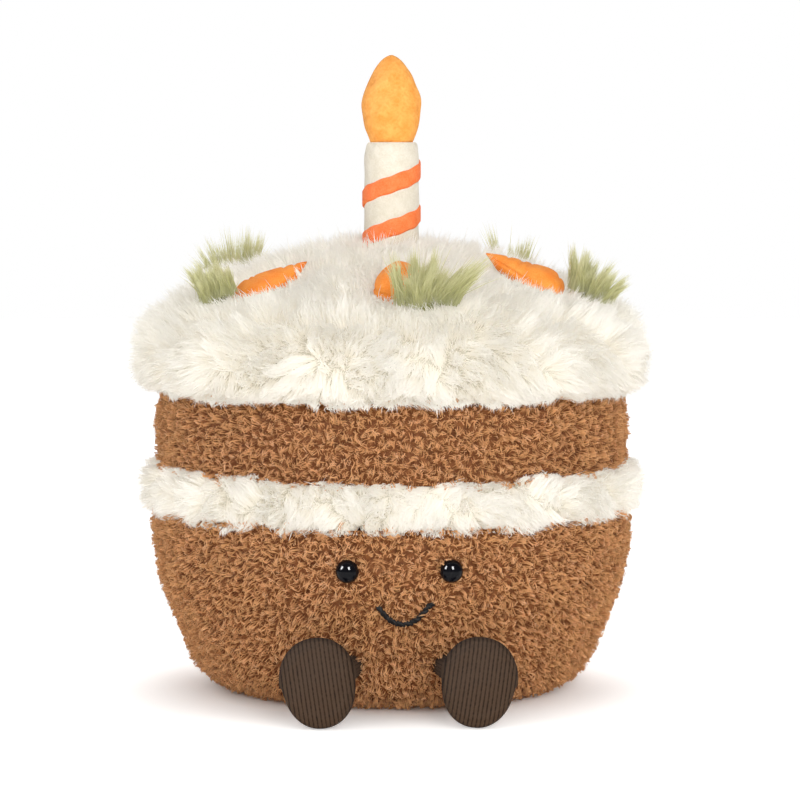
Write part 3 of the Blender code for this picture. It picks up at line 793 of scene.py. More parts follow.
# The filling: a ring of long white faux fur, stuffed so that it bulges between the two sponges. Its fibres
# gather into locks that lie every way, and its edges fray over the brown wool.
BAND_TOP_Z = 89.8 * MM
BAND_SEAM_RADIUS = 87 * MM
BAND_BULGE = 14.5 * MM
BAND_EDGE = 1.6 * MM
BAND_PILE = 7.5 * MM
BAND_LENGTH = 6 * MM
BAND_FIBRES = 52000
UPPER_RADIUS = 93.2 * MM
UPPER_TOP_Z = 114.3 * MM
UPPER_RIM = 6.5 * MM
WOOL_CLEARANCE = 0.6 * MM
SMALL_LOCK = 3.8 * MM
BIG_LOCK = 10 * MM
BIG_LOCK_START = 0.77
FUR_FIBRE = 0.34 * MM
LOW_LOBE = (15 * MM, 2.4 * MM)
HIGH_LOBE = (19 * MM, 1.5 * MM)
FRAY = (2 * MM, 0.9 * MM)


def comb(spots, height, length, steer, phase, draw):
    """Where each lock's tip lies from its spot: up by its height, and along by its lean."""
    points, out, down, round_toy = spots
    angle = 2.2 * waves(points, 30 * MM, phase) + draw.normal(0, 1.1, len(points))
    flow = down * np.cos(angle)[:, None] + round_toy * np.sin(angle)[:, None]
    pull, short = steer(points, out)
    flow = flow + pull
    flow = unit(flow - out * np.sum(flow * out, axis=1, keepdims=True))
    steep = draw.uniform(0.85, 1.1, len(points))[:, None]
    reach = short[:, None] * length * draw.uniform(0.45, 1.1, len(points))[:, None]
    return out * height * steep * short[:, None] + flow * reach


def lock_spots(profile, spacing, phase, draw):
    """Spots about a spacing apart, each moved a little aside."""
    points, *ways = even_spots(profile, int(turned_area(profile) / spacing**2), phase)
    return (points + draw.normal(0, spacing * 0.22, points.shape), *ways)


def sew_fur(name, profile, blades, pile, length, seed, steer, tidy):
    """Long fur: flat tapering fibres in small locks, which lean together in larger ones. A fibre is marked
    paler towards its tip and towards the middle of its locks, as painted shade that darkens its root and
    the partings between locks."""
    draw = np.random.default_rng(seed)
    roots, out, down, round_toy = even_spots(profile, blades)
    small = lock_spots(profile, SMALL_LOCK, LOCK_START, draw)
    big = lock_spots(profile, BIG_LOCK, BIG_LOCK_START, draw)
    big_lean = comb(big, pile, length, steer, seed, draw)
    home = gathered(small[0], big[0])
    lean = comb(small, pile, length, steer, seed, draw) * 0.5 + big_lean[home] * 0.5
    lock = gathered(roots, small[0])
    apart, far = roots - small[0][lock], roots - big[0][home[lock]]
    tips = roots + lean[lock] * draw.uniform(0.72, 1.1, blades)[:, None]
    tips -= apart * draw.uniform(0, 0.7, blades)[:, None] + far * draw.uniform(0.1, 0.35, blades)[:, None]
    tips += draw.normal(0, 1.0 * MM, (blades, 3))
    stray = draw.random(blades) < 0.10
    tips[stray] += (out * 0.8 * MM + draw.normal(0, 1.8 * MM, (blades, 3)))[stray]
    middles = roots * 0.5 + tips * 0.5 + out * (0.18 * length) + draw.normal(0, 0.55 * MM, (blades, 3))
    roots, middles, tips, kept = tidy(roots, middles, tips)
    way = unit(tips - roots)
    side = unit(np.cross(way, out))
    face = np.cross(side, way)
    twist = draw.uniform(-0.5, 0.5, blades)[:, None]
    side = side * np.cos(twist) + face * np.sin(twist)
    half = FUR_FIBRE / 2 * draw.uniform(0.75, 1.3, blades)[:, None]
    inner = np.clip(1 - np.linalg.norm(apart, axis=1) / (SMALL_LOCK * 0.8), 0, 1)
    wide = np.clip(1.15 - np.linalg.norm(far, axis=1) / (BIG_LOCK * 0.7), 0, 1)
    middle_tone = 0.42 + 0.22 * inner + 0.22 * wide + draw.normal(0, 0.04, blades)
    tip_tone = 0.74 + 0.26 * wide + draw.normal(0, 0.04, blades)
    dye = np.clip(waves(small[0][lock], 30 * MM, seed + 2) * 0.5 + 0.5 + draw.normal(0, 0.12, blades), 0, 1)
    stations = [row[kept] for row in (roots, middles, tips)]
    tones = [row[kept] for row in (0 * inner, middle_tone, tip_tone)]
    return strands(name, stations, side[kept], (half[kept], half[kept] * 0.92), tones, dye[kept])


def off_the_sponges(points):
    """Keeps fibres outside the wool of the sponges above and below them."""
    reach = np.linalg.norm(points[:, :2], axis=1)
    lower = (points[:, 2] < LOWER_TOP_Z) & (points[:, 2] > 40 * MM)
    upper = (points[:, 2] > BAND_TOP_Z - BAND_EDGE) & (points[:, 2] < UPPER_TOP_Z + UPPER_RIM)
    least = np.where(lower, BELLY_RADIUS + WOOL_CLEARANCE, np.where(upper, UPPER_RADIUS + WOOL_CLEARANCE, 0))
    grow = np.maximum(1, least / np.maximum(reach, MM))
    return np.stack([points[:, 0] * grow, points[:, 1] * grow, points[:, 2]], 1)


# Painted shade: the fur's darker, warmer root colour stands for shade deep in the pile.
FUR = strand_finish("white_fur", (0.79, 0.752, 0.67), (0.875, 0.856, 0.81), (0.90, 0.885, 0.85),
                    (0.885, 0.86, 0.80), 0.4, lets_light=0.37, painted_glow=0.156)
# Painted shade: the fur's backing is coloured darker than the fur, as shade between its fibres.
FUR_BACKING = backing_finish("fur_backing", (0.62, 0.59, 0.50), (0.78, 0.75, 0.67), 1.5 * MM)

band_middle = (LOWER_TOP_Z + BAND_TOP_Z) / 2
band_half = (BAND_TOP_Z - LOWER_TOP_Z) / 2 - BAND_EDGE
band_profile = arc(BAND_SEAM_RADIUS, band_middle, BAND_BULGE - BAND_PILE, band_half, 90, -90, 18)
band_top = [(BAND_SEAM_RADIUS / 2, BAND_TOP_Z), (MM, BAND_TOP_Z)]
filling = raised("filling_body", [*reversed(band_profile), *band_top], 144)
dress(filling, FUR_BACKING, "fur", "filling_fur")


def within(points, low, high):
    """Holds fibres between two heights, with soft uneven lobes at both."""
    points = points.copy()
    flat, frayed = points * (1, 1, 0), waves(points, FRAY[0], 0.3) * FRAY[1]
    low = low + waves(flat, LOW_LOBE[0], 1.7) * LOW_LOBE[1] + frayed
    high = high + waves(flat, HIGH_LOBE[0], 0.6) * HIGH_LOBE[1] + frayed
    z = points[:, 2]
    points[:, 2] = np.where(z < low, low + (z - low) * 0.42, np.where(z > high, high + (z - high) * 0.3, z))
    return points


def band_steer(points, out):
    """The filling's locks fan up over their top edge and down over their bottom edge."""
    apart = (points[:, 2] - band_middle) / (BAND_TOP_Z - band_middle)
    pull = np.zeros_like(points)
    pull[:, 2] = 0.5 * apart - 0.1
    return pull, np.full(len(points), 1.0)


def band_tidy(roots, middles, tips):
    low, high = LOWER_TOP_Z + BAND_EDGE, BAND_TOP_Z - BAND_EDGE
    middles, tips = within(middles, low, high), within(tips, low, high)
    return roots, off_the_sponges(middles), off_the_sponges(tips), np.ones(len(roots), bool)


filling_fur = sew_fur("filling_pile", band_profile[1:-1], BAND_FIBRES, BAND_PILE, BAND_LENGTH, 3,
                      band_steer, band_tidy)
dress(filling_fur, FUR, "fur", "filling_fur")

# The upper sponge: a shallower drum of the same looped wool, firmly stuffed. It is sewn between the filling
# and the icing, and its wool hangs a little over the filling.
TOP_TAPER = 7 * MM
TOP_TAPER_Z = 105 * MM
HEM_HANGS = 2.2 * MM
UPPER_FOOT_RINGS = (MM, 60 * MM, 80 * MM)
UPPER_TOP_RINGS = (82 * MM, 60 * MM, MM)
UPPER_LUMPS = 1.9
UPPER_FIBRES = 22000
foot_z = BAND_TOP_Z + 0.3 * MM
hem_z = foot_z - BAND_EDGE - HEM_HANGS
taper_rise = UPPER_TOP_Z + UPPER_RIM - TOP_TAPER_Z
upper_top = arc(UPPER_RADIUS - TOP_TAPER, TOP_TAPER_Z, TOP_TAPER, taper_rise, 62, 0, 5)
upper_foot = arc(UPPER_RADIUS - SEAM_ROUND, hem_z + SEAM_ROUND, SEAM_ROUND, SEAM_ROUND, 0, -60, 3)
middle_heights = [TOP_TAPER_Z - (TOP_TAPER_Z - hem_z - SEAM_ROUND) * k / 8 for k in range(1, 8)]
upper_profile = [*upper_top, *[(UPPER_RADIUS, z) for z in middle_heights], *upper_foot]
upper_backing = sunk(upper_profile, WOOL_DEPTH)
sponge_upper = raised("sponge_upper_body", [*[(radius, foot_z) for radius in UPPER_FOOT_RINGS],
                                            *reversed(upper_backing),
                                            *[(radius, UPPER_TOP_Z) for radius in UPPER_TOP_RINGS]], 160)
set_points(sponge_upper, plumped(points_of(sponge_upper), UPPER_LUMPS))
dress(sponge_upper, WOOL_BACKING, "sponge", "sponge_upper")
upper_wool = curl_wool("sponge_upper_wool", upper_backing, UPPER_FIBRES, 12, UPPER_LUMPS)
dress(upper_wool, WOOL, "sponge", "sponge_upper")

# The icing: a stuffed dome of the longest white fur, which overhangs the sponge as a soft brow and rises to a
# crest round the candle. Its pile is parted where the candle, the carrots and their tops are sewn down.
BROW_RADIUS = 102 * MM
BROW_Z = 133.3 * MM
BROW_DROP = 19 * MM
BROW_INSET = 18 * MM
DOME_RISE = 33 * MM
DOME_POWER = 2.7
CREST_RISE = 12 * MM
CREST_SPREAD = 60 * MM
SKIN_DEPTH = 8 * MM
SOLE_RINGS = (MM, 40 * MM, 78 * MM)
PILE = 10.8 * MM
ICING_LENGTH = 7 * MM
ICING_FIBRES = 65000
CROWN_RINGS = 28
BROW_RINGS = 14
BROW_FOOT_Z = 122 * MM
BROW_HANG = (134 * MM, 18 * MM)
CROWN_FROM = (146 * MM, 8 * MM)
DENTS_FROM = (130 * MM, 12 * MM)
NO_LIMIT = 1.0
CANDLE_RADIUS = 11 * MM
CARROTS = {
    -88: {"sink": 5, "tilt": 3, "hollow": (22, 14), "dent": 2},
    -13: {"sink": 5.2, "tilt": 12, "hollow": (26, 14), "dent": 5},
    52: {"sink": 4.5, "tilt": 3, "hollow": (9, 9), "dent": 0},
    138: {"sink": 5, "tilt": 3, "hollow": (9, 9), "dent": 0},
    208: {"sink": 8.5, "tilt": 13, "hollow": (26, 11), "dent": 3},
}
PARTING_REACH = 56 * MM
HOLLOW_LENGTH = 24 * MM
CARROT_TIP_REACH = 36 * MM
CARROT_LENGTH = 35 * MM
CARROT_RADIUS = 11 * MM
CARROT_PLUMPNESS = 1.44
CARROT_FLATNESS = 0.68


def icing_height(radius):
    """The top of the icing's fur at that distance from the candle's axis."""
    share = min(1, radius / BROW_RADIUS)
    dome = DOME_RISE * math.sqrt(1 - share**DOME_POWER)
    return BROW_Z + dome + CREST_RISE * math.exp(-((radius / CREST_SPREAD) ** 2))


def dome_frame(angle, reach, sink):
    """A frame on the dome: +X outwards down the slope, +Z out of the fur, its origin sunk into the icing."""
    fall = icing_height(reach - MM) - icing_height(reach + MM)
    turn = Matrix.Rotation(math.radians(angle), 4, "Z")
    spot = Matrix.Translation((reach, 0, icing_height(reach) - sink))
    return turn @ spot @ Matrix.Rotation(math.atan2(fall, 2 * MM), 4, "Y")


def carrot_frame(angle):
    """The frame of a carrot that lies in the fur: its point at -X, towards the candle."""
    middle = dome_frame(angle, CARROT_TIP_REACH + CARROT_LENGTH / 2, CARROTS[angle]["sink"] * MM)
    tilt = Matrix.Rotation(math.radians(CARROTS[angle]["tilt"]), 4, "Y")
    return middle @ tilt @ Matrix.Translation((-CARROT_LENGTH / 2, 0, 0))


def carrot_swell(share):
    """The carrot's half width at a share of its length from its point."""
    return CARROT_RADIUS * CARROT_PLUMPNESS * share**0.8 * np.sqrt(np.maximum(0, 1 - share**5))


def seen_from(points, place):
    """The points in the coordinates of a frame."""
    turn = np.array(place.inverted())
    return points @ turn[:3, :3].T + turn[:3, 3]


def set_back(points, place):
    turn = np.array(place)
    return points @ turn[:3, :3].T + turn[:3, 3]


def off_the_toppings(points):
    """Pushes fibres out of the candle and the carrots."""
    points = points.copy()
    reach = np.linalg.norm(points[:, :2], axis=1)
    inside = (reach < CANDLE_RADIUS + 0.8 * MM) & (points[:, 2] > 150 * MM)
    points[inside, :2] = unit(points[inside, :2]) * (CANDLE_RADIUS + 0.8 * MM)
    for angle in CARROTS:
        place = carrot_frame(angle)
        local = seen_from(points, place)
        share = local[:, 0] / CARROT_LENGTH
        wide = carrot_swell(np.clip(share, 0.001, 0.999)) + 0.7 * MM
        across = np.hypot(local[:, 1], local[:, 2] / CARROT_FLATNESS)
        inside = (share > -0.02) & (share < 1.02) & (across < wide)
        away = np.where(inside, wide / np.maximum(across, 0.4 * MM), 1)
        local[:, 1] *= away
        local[:, 2] *= away
        points = np.where(inside[:, None], set_back(local, place), points)
    return points


crown_radii = [BROW_RADIUS * math.sin(math.pi / 2 * k / 40) for k in range(1, 40)]
crown = [(radius, icing_height(radius)) for radius in crown_radii]
brow = arc(BROW_RADIUS - BROW_INSET, BROW_Z, BROW_INSET, BROW_DROP - 0.3 * MM, 0, -90, BROW_RINGS)
icing_surface = np.array([(0.3 * MM, icing_height(0)), *crown, *brow])
slope = unit(np.gradient(icing_surface, axis=0))
under = np.clip(np.arange(len(icing_surface)) - (len(icing_surface) - BROW_RINGS - 1), 0, None) / BROW_RINGS
depth = SKIN_DEPTH * (1 - 0.6 * under)
icing_backing = icing_surface - np.stack([-slope[:, 1], slope[:, 0]], 1) * depth[:, None]
above = under == 0
icing_backing[above, 0] = np.maximum.accumulate(icing_backing[above, 0])
sole_z = UPPER_TOP_Z + 0.3 * MM
icing_rings = [*[(radius, sole_z) for radius in SOLE_RINGS], *[tuple(row) for row in icing_backing[::-1]]]
icing_rings = [(max(radius, 0.3 * MM), height) for radius, height in icing_rings]
icing = raised("icing_body", icing_rings, 144)
dress(icing, FUR_BACKING, "fur", "icing_fur")


def beside_carrot(points, angle, place):
    """How near points are to a carrot, from 0 to 1, and the points in its place's coordinates."""
    local = seen_from(points, place)
    width = np.where(points[:, 1] < place.translation.y, *CARROTS[angle]["hollow"]) * MM
    return np.exp(-((local[:, 0] / HOLLOW_LENGTH) ** 2) - (local[:, 1] / width) ** 2), local


def dented(points):
    """How far the stitches that hold the carrots pull the icing down at each point."""
    depths = []
    for angle in CARROTS:
        near, _ = beside_carrot(points, angle, dome_frame(angle, PARTING_REACH, 0))
        depths.append(near * CARROTS[angle]["dent"] * MM)
    foot, fade = DENTS_FROM
    return np.max(depths, axis=0) * np.clip((points[:, 2] - foot) / fade, 0, 1)


def icing_steer(points, out):
    """The locks hang down at the brow's lower edge and lie away from the carrots. They are short beside the
    carrots, most of all in front of them, a little shorter on the crown's front and longer on its back."""
    pull = np.zeros_like(points)
    hang = np.clip((BROW_HANG[0] - points[:, 2]) / BROW_HANG[1], 0, 1)
    pull[:, 2] = -1.3 * hang
    pull[:, :2] += unit(points[:, :2]) * (0.1 * (1 - hang))[:, None]
    on_crown = np.clip((points[:, 2] - CROWN_FROM[0]) / CROWN_FROM[1], 0, 1)
    behind = np.clip(points[:, 1] / (40 * MM), -1, 1)
    short = 1 - 0.15 * hang + 0.2 * on_crown * behind
    for angle in CARROTS:
        place = dome_frame(angle, PARTING_REACH, 0)
        near, local = beside_carrot(points, angle, place)
        short -= 0.7 * near
        away = np.stack([local[:, 0] * 0.3, local[:, 1], 0 * near], 1)
        pull += unit(away @ np.array(place)[:3, :3].T) * (1.6 * near)[:, None]
    return pull, np.clip(short, 0.25, 1.2)


def icing_tidy(roots, middles, tips):
    """Leaves out fibres that start under a topping, and keeps the rest outside what they grow round."""
    kept = np.linalg.norm(roots[:, :2], axis=1) > CANDLE_RADIUS
    for angle in CARROTS:
        local = seen_from(roots, carrot_frame(angle))
        share = local[:, 0] / CARROT_LENGTH
        half = carrot_swell(np.clip(share, 0.001, 0.999)) * 0.86
        under = (share > 0.05) & (share < 0.97) & (np.abs(local[:, 1]) < half)
        kept &= ~(under & (np.abs(local[:, 2]) < 20 * MM))
    sunken = dented(roots)[:, None] * (0, 0, 1)
    roots, middles, tips = roots - sunken, middles - sunken, tips - sunken
    middles, tips = (within(off_the_toppings(points), BROW_FOOT_Z, NO_LIMIT) for points in (middles, tips))
    return roots, off_the_sponges(middles), off_the_sponges(tips), kept


skin = points_of(icing)
skin[:, 2] -= dented(skin)
set_points(icing, skin)
for name, profile, seed in (("icing_crown_pile", icing_backing[:CROWN_RINGS + 1], 5),
                            ("icing_brow_pile", icing_backing[CROWN_RINGS:-1], 6)):
    icing_fur = sew_fur(name, profile, ICING_FIBRES, PILE, ICING_LENGTH, seed, icing_steer, icing_tidy)
    dress(icing_fur, FUR, "fur", "icing_fur")

# The candle: a stuffed tube of cream fleece, closed by a soft gathered shoulder under the flame. Its seam
# runs up behind, and its foot is sewn down in the icing's crest.
CANDLE_FOOT_Z = 166.8 * MM
CANDLE_TOP_Z = 216.2 * MM
CANDLE_TOP_RADIUS = 8.9 * MM
CANDLE_SHOULDER = 8 * MM


def nap_effect():
    """Short brushed pile: fine grain in two sizes that mottles the colour, with a height for its relief."""
    group = bpy.data.node_groups.new("brushed_nap", "ShaderNodeTree")
    for name, kind in (("Deep", "NodeSocketColor"), ("Pale", "NodeSocketColor"), ("Grain", "NodeSocketFloat"),
                       ("Patch", "NodeSocketFloat")):
        group.interface.new_socket(name, in_out="INPUT", socket_type=kind)
    for name, kind in (("Colour", "NodeSocketColor"), ("Roughness", "NodeSocketFloat"),
                       ("Height", "NodeSocketFloat")):
        group.interface.new_socket(name, in_out="OUTPUT", socket_type=kind)
    n, link = group.nodes, group.links.new
    given, made, where = n.new("NodeGroupInput"), n.new("NodeGroupOutput"), n.new("ShaderNodeTexCoord")
    grain, patch = n.new("ShaderNodeTexNoise"), n.new("ShaderNodeTexNoise")
    grain.inputs["Detail"].default_value, patch.inputs["Detail"].default_value = 3, 2
    both, spread = n.new("ShaderNodeMath"), n.new("ShaderNodeMapRange")
    both.operation = "ADD"
    spread.inputs["From Min"].default_value, spread.inputs["From Max"].default_value = 0.7, 1.3
    mix = n.new("ShaderNodeMix")
    mix.data_type = "RGBA"
    rough = n.new("ShaderNodeMapRange")
    rough.inputs["To Min"].default_value, rough.inputs["To Max"].default_value = 0.95, 0.7
    for texture, socket in ((grain, "Grain"), (patch, "Patch")):
        link(where.outputs["Object"], texture.inputs["Vector"])
        link(given.outputs[socket], texture.inputs["Scale"])
    link(grain.outputs["Fac"], both.inputs[0])
    link(patch.outputs["Fac"], both.inputs[1])
    link(both.outputs[0], spread.inputs["Value"])
    link(spread.outputs["Result"], mix.inputs["Factor"])
    link(given.outputs["Deep"], mix.inputs["A"])
    link(given.outputs["Pale"], mix.inputs["B"])
    link(mix.outputs["Result"], made.inputs["Colour"])
    link(spread.outputs["Result"], rough.inputs["Value"])
    link(rough.outputs["Result"], made.inputs["Roughness"])
    link(grain.outputs["Fac"], made.inputs["Height"])
    return group


NAP = nap_effect()


def nap_finish(name, deep, pale, grain, patch, relief, sheen):
    made, nodes, links, shader = new_finish(name)
    nap, bump = nodes.new("ShaderNodeGroup"), nodes.new("ShaderNodeBump")
    nap.node_tree = NAP
    nap.inputs["Deep"].default_value, nap.inputs["Pale"].default_value = (*deep, 1), (*pale, 1)
    nap.inputs["Grain"].default_value, nap.inputs["Patch"].default_value = grain, patch
    bump.inputs["Distance"].default_value = relief
    links.new(nap.outputs["Height"], bump.inputs["Height"])
    links.new(nap.outputs["Colour"], shader.inputs["Base Color"])
    links.new(nap.outputs["Roughness"], shader.inputs["Roughness"])
    links.new(bump.outputs["Normal"], shader.inputs["Normal"])
    shader.inputs["Specular IOR Level"].default_value = 0.12
    shader.inputs["Sheen Weight"].default_value = sheen
    shader.inputs["Sheen Roughness"].default_value = 0.5
    return made


neck_z = CANDLE_TOP_Z - CANDLE_SHOULDER
candle_rings = [(CANDLE_RADIUS, CANDLE_FOOT_Z + (neck_z - CANDLE_FOOT_Z) * k / 30) for k in range(30)]
candle_rings += arc(CANDLE_TOP_RADIUS, neck_z, CANDLE_RADIUS - CANDLE_TOP_RADIUS, CANDLE_SHOULDER, 0, 90, 10)
candle_rings += [(CANDLE_TOP_RADIUS * 0.6, CANDLE_TOP_Z), (0.5 * MM, CANDLE_TOP_Z)]
candle = raised("candle_tube", candle_rings, 96)
skin = points_of(candle)
turn = np.arctan2(skin[:, 1], skin[:, 0])
seam = np.exp(-(((turn - math.pi / 2) / 0.07) ** 2)) * 0.5 * MM
gathers = (0.35 * np.cos(turn * 11) + 0.2 * np.cos(turn * 7 + 1)) * MM
pinch = np.exp(-(((skin[:, 2] - CANDLE_TOP_Z) / (3 * MM)) ** 2)) * gathers
skin[:, :2] += unit(skin[:, :2]) * (waves(skin, 10 * MM, 0.4) * 0.18 * MM - seam + pinch)[:, None]
set_points(candle, skin)
CANDLE_FINISH = nap_finish("candle_fleece", (0.665, 0.605, 0.485), (0.765, 0.715, 0.61), 1500, 260,
                           relief=0.3 * MM, sheen=0.3)
dress(candle, CANDLE_FINISH, "candle", "candle")

# The stripes: two ribbons of orange fleece wound once round the candle and rising to the right, glued flat
# and meeting at the candle's seam behind.
STRIPE_WIDTH = 7 * MM
STRIPE_THICKNESS = 0.45 * MM
STRIPE_RISE = 22.8 * MM
STRIPE_TURN = math.radians(346)
STRIPE_STEPS = 144
STRIPE_ACROSS = 9
STRIPE_FINISH = nap_finish("stripe_fleece", (0.88, 0.165, 0.034), (0.95, 0.245, 0.070), 1500, 300,
                           relief=0.3 * MM, sheen=0.05)


def stripe(name, front_z, node):
    """One ribbon, as a closed band whose middle in front is at a height."""
    steps, across = STRIPE_STEPS, STRIPE_ACROSS
    rows = []
    for k in range(steps + 1):
        share = k / steps - 0.5
        angle = -math.pi / 2 + share * STRIPE_TURN
        for j in range(across + 1):
            v = 2 * j / across - 1
            edge = math.sqrt(max(0, 1 - abs(v) ** 8))
            radius = CANDLE_RADIUS + 0.1 * MM + (STRIPE_THICKNESS + 0.15 * MM) * edge
            wobble = 0.18 * MM * math.sin(9 * angle + 3 * v + front_z * 900)
            z = front_z + STRIPE_RISE * share * STRIPE_TURN / (2 * math.pi) + v * STRIPE_WIDTH / 2 + wobble
            rows.append((radius * math.cos(angle), radius * math.sin(angle), z))
    outer = np.array(rows)
    inner = outer.copy()
    inner[:, :2] = unit(inner[:, :2]) * (CANDLE_RADIUS - 0.4 * MM)
    wide = across + 1
    faces = []
    for k in range(steps):
        for j in range(across):
            a = k * wide + j
            b, c, d = a + wide, a + wide + 1, a + 1
            faces += [(a, b, c, d), (a + len(outer), d + len(outer), c + len(outer), b + len(outer))]
        for j in (0, across):
            a = k * wide + j
            faces.append((a, a + wide, a + wide + len(outer), a + len(outer)))
    for j in range(across):
        for k in (0, steps):
            a = k * wide + j
            faces.append((a, a + 1, a + 1 + len(outer), a + len(outer)))
    band = mesh_from(name, np.concatenate([outer, inner]), [np.array(faces)])
    close_up(band, 0.001 * MM)
    dress(band, STRIPE_FINISH, "stripe", node)


stripe("stripe_ribbon_upper", 199.7 * MM, "candle_stripe_upper")
stripe("stripe_ribbon_lower", 182.4 * MM, "candle_stripe_lower")

# The flame: two drops of golden short plush, sewn edge to edge and stuffed so that the seam shows at both
# sides. It stands on the candle's top, drawn in at its waist.
FLAME_RADIUS = 12 * MM
FLAME_WAIST = 3.4 * MM
FLAME_WIDEST_Z = 230.8 * MM
FLAME_TIP_Z = 250.8 * MM
FLAME_FLATNESS = 0.82


def flame_radius(z):
    """The flame's half width, from its waist on the candle to its blunt tip."""
    if z >= FLAME_WIDEST_Z:
        share = (z - FLAME_WIDEST_Z) / (FLAME_TIP_Z - FLAME_WIDEST_Z)
        return FLAME_RADIUS * max(0, 1 - share**1.5) ** 0.6
    share = (FLAME_WIDEST_Z - z) / (FLAME_WIDEST_Z - CANDLE_TOP_Z)
    return FLAME_RADIUS - FLAME_WAIST * share**1.8


flame_heights = [CANDLE_TOP_Z + (FLAME_TIP_Z - CANDLE_TOP_Z) * (1 - (1 - k / 44) ** 1.25) for k in range(44)]
flame = raised("flame_plush", [(0.48 * FLAME_RADIUS, CANDLE_TOP_Z - 0.5 * MM),
                               *[(flame_radius(z), z) for z in flame_heights], (0.4 * MM, FLAME_TIP_Z)], 96)
skin = points_of(flame)
turn = np.arctan2(skin[:, 1], skin[:, 0])
side_seam = np.exp(-((np.minimum(np.abs(turn), math.pi - np.abs(turn)) / 0.09) ** 2)) * 0.45 * MM
skin[:, :2] += unit(skin[:, :2]) * (waves(skin, 8 * MM, 2.2) * 0.3 * MM - side_seam)[:, None]
skin[:, 1] *= FLAME_FLATNESS
set_points(flame, skin)
FLAME_FINISH = nap_finish("flame_plush", (0.79, 0.295, 0.042), (0.92, 0.425, 0.094), 900, 220,
                          relief=0.5 * MM, sheen=0.05)
dress(flame, FLAME_FINISH, "flame", "flame")

# The carrots: five plump cones of orange velour, each sewn from two halves and stuffed lightly, so that the
# cloth creases across. They lie in the fur with their points towards the candle.
CREASES = ((0.20, 0.2, 0.8), (0.34, 0.25, 1.2), (0.56, -0.2, 1.0), (0.78, 0.3, 0.9))
CARROT_FINISH = nap_finish("carrot_velour", (0.88, 0.222, 0.017), (0.96, 0.345, 0.046), 1700, 180,
                           relief=0.25 * MM, sheen=0.05)
for number, angle in enumerate(CARROTS, 1):
    shares = [1 - (1 - k / 36) ** 1.3 for k in range(1, 36)]
    swells = [(float(carrot_swell(s)), CARROT_LENGTH * s) for s in shares]
    rings = [(0.3 * MM, 0), *swells, (0.3 * MM, CARROT_LENGTH)]
    carrot = raised(f"carrot_{number}_body", rings, 72)
    skin = points_of(carrot)
    lengthways, across, high = skin[:, 2], skin[:, 1], skin[:, 0] * CARROT_FLATNESS
    turn = np.arctan2(skin[:, 1], skin[:, 0])
    crease = np.zeros(len(skin))
    for where, slant, deep in CREASES:
        line = lengthways / CARROT_LENGTH - where - slant * 0.3 * np.sin(turn + number)
        upwards = np.clip(np.cos(turn - 0.6 * math.sin(number * where * 9)), 0, 1)
        crease += np.exp(-((line / 0.02) ** 2)) * deep * upwards
    from_seam = np.minimum(np.abs(turn - math.pi / 2), np.abs(turn + math.pi / 2))
    seam = np.exp(-((from_seam / 0.10) ** 2)) * 0.8
    lumps = waves(skin, 9 * MM, number) * 0.35
    out = unit(np.stack([0 * across, across, high], 1)) * ((lumps - crease - seam) * MM)[:, None]
    body = np.stack([lengthways, across, high], 1) + out * np.clip(lengthways / (4 * MM), 0, 1)[:, None]
    set_points(carrot, set_back(body, carrot_frame(angle)))
    close_up(carrot, 0.001 * MM)
    dress(carrot, CARROT_FINISH, "carrot", f"carrot_{number}")

# The carrots' tops: a pinch of long green fur at each carrot's wide end, olive at the root and pale at the
# tips, sewn down by a small round of its backing. Each one leans and fans in its own way.
TUFT_SINK = 3.5 * MM
TUFT_ROOT = (3.2 * MM, 6 * MM, 3 * MM)
HAIRS_IN_LOCK = 110
HAIR_SHARES = ((0.34, -0.1), (0.68, 0.15), (1, 1))
TUFT_SHAPES = (
    {"angle": -82.5, "reach": 79, "foot": (4.5, 10), "lean": (0.18, -0.40), "fan": (0.52, 0.24),
     "locks": 24, "long": (12, 24), "parting": 0},
    {"angle": -13, "reach": 79.5, "foot": (8.5, 6), "lean": (0.38, 0.00), "fan": (0.25, 0.42),
     "locks": 22, "long": (9, 19), "parting": 0},
    {"angle": 49.5, "reach": 79, "foot": (5, 8), "lean": (0.00, 0.05), "fan": (0.30, 0.20),
     "locks": 9, "long": (12, 27), "parting": 0},
    {"angle": 140.5, "reach": 81, "foot": (5, 9), "lean": (-0.10, 0.00), "fan": (0.40, 0.22),
     "locks": 30, "long": (15, 28), "parting": 0.4},
    {"angle": 208, "reach": 78, "foot": (7.5, 9), "lean": (-0.30, -0.10), "fan": (0.18, 0.16),
     "locks": 22, "long": (9, 15), "parting": 0},
)
# The green fur's dark olive root is partly its own colour, partly painted shade deep in the tuft.
LEAF_FUR = strand_finish("green_fur", (0.20, 0.205, 0.055), (0.49, 0.485, 0.20), (0.84, 0.82, 0.575),
                         (0.67, 0.66, 0.40), 0.4, lets_light=0.4, painted_glow=0.125)
# Painted shade: the green backing is coloured dark, as shade between the hairs.
LEAF_BACKING = backing_finish("green_backing", (0.20, 0.21, 0.07), (0.30, 0.30, 0.12), 1.2 * MM)
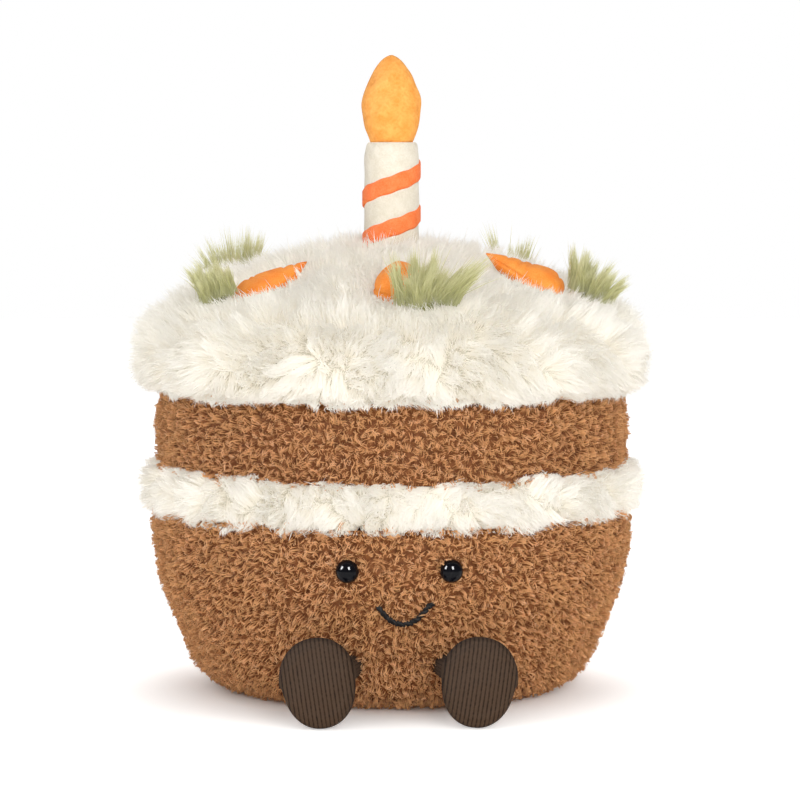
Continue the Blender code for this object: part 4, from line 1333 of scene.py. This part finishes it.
for number, shape in enumerate(TUFT_SHAPES, 1):
    draw = np.random.default_rng(100 + number)
    place = dome_frame(shape["angle"], shape["reach"] * MM, TUFT_SINK)
    locks, (shortest, longest), (ring_fan, slope_fan) = shape["locks"], shape["long"], shape["fan"]
    angle = math.radians(shape["angle"])
    outwards = np.array([math.cos(angle), math.sin(angle), 0])
    round_toy = np.array([-outwards[1], outwards[0], 0])
    aside = draw.uniform(-1, 1, locks)
    aside = np.sign(aside) * (shape["parting"] + (1 - shape["parting"]) * np.abs(aside))
    ahead = draw.uniform(-1, 1, locks) * np.sqrt(1 - 0.6 * aside**2)
    foot = np.stack([shape["foot"][0] * ahead, shape["foot"][1] * aside, 0 * aside + 1], 1) * MM
    foot = set_back(foot, place)
    towards = (np.array([*shape["lean"], 1]) + aside[:, None] * ring_fan * round_toy
               + ahead[:, None] * slope_fan * outwards + draw.normal(0, 0.10, (locks, 3)))
    lean = towards * (1, 1, 0)
    length = (shortest + (longest - shortest) * draw.random(locks) ** 1.5)[:, None] * MM
    lock = np.repeat(np.arange(locks), HAIRS_IN_LOCK)
    hairs = len(lock)
    spread = draw.normal(0, 1.3 * MM, (hairs, 3)) * (1, 1, 0.3)
    reach = length[lock] * (0.45 + 0.6 * draw.random(hairs) ** 0.8)[:, None]
    stray = np.where(draw.random(hairs) < 0.25, 0.17, 0.05)[:, None]
    aim = unit(unit(towards)[lock] + draw.normal(0, 1, (hairs, 3)) * stray)
    bow = lean[lock] * reach * 0.22
    stations = [foot[lock] + spread]
    for share, bend in HAIR_SHARES:
        stations.append(foot[lock] + spread * (1 - 0.85 * share) + aim * reach * share + bow * bend)
    way = unit(stations[-1] - stations[0])
    side = unit(np.cross(way, draw.normal(0, 1, (hairs, 3))))
    half = draw.uniform(0.10, 0.155, hairs)[:, None] * MM
    # The shade tones darken the hairs towards the root, partly as painted shade.
    tones = [np.zeros(hairs), 0.40 + draw.normal(0, 0.07, hairs), 0.72 + draw.normal(0, 0.06, hairs),
             np.ones(hairs)]
    halves = (half, half, half * 0.8)
    hair = strands(f"carrot_top_{number}_fur", stations, side, halves, tones, draw.random(hairs))
    dress(hair, LEAF_FUR, "leaf", f"carrot_top_{number}")
    bpy.ops.object.select_all(action="DESELECT")
    bpy.ops.mesh.primitive_uv_sphere_add(segments=28, ring_count=14, radius=1)
    root = bpy.context.object
    root.name = f"carrot_top_{number}_root"
    bpy.ops.object.shade_smooth()
    ball = points_of(root) * TUFT_ROOT
    ball[:, 2] = np.where(ball[:, 2] > 0, ball[:, 2] * 0.3, ball[:, 2])
    set_points(root, set_back(ball, place))
    dress(root, LEAF_BACKING, "leaf", f"carrot_top_{number}")
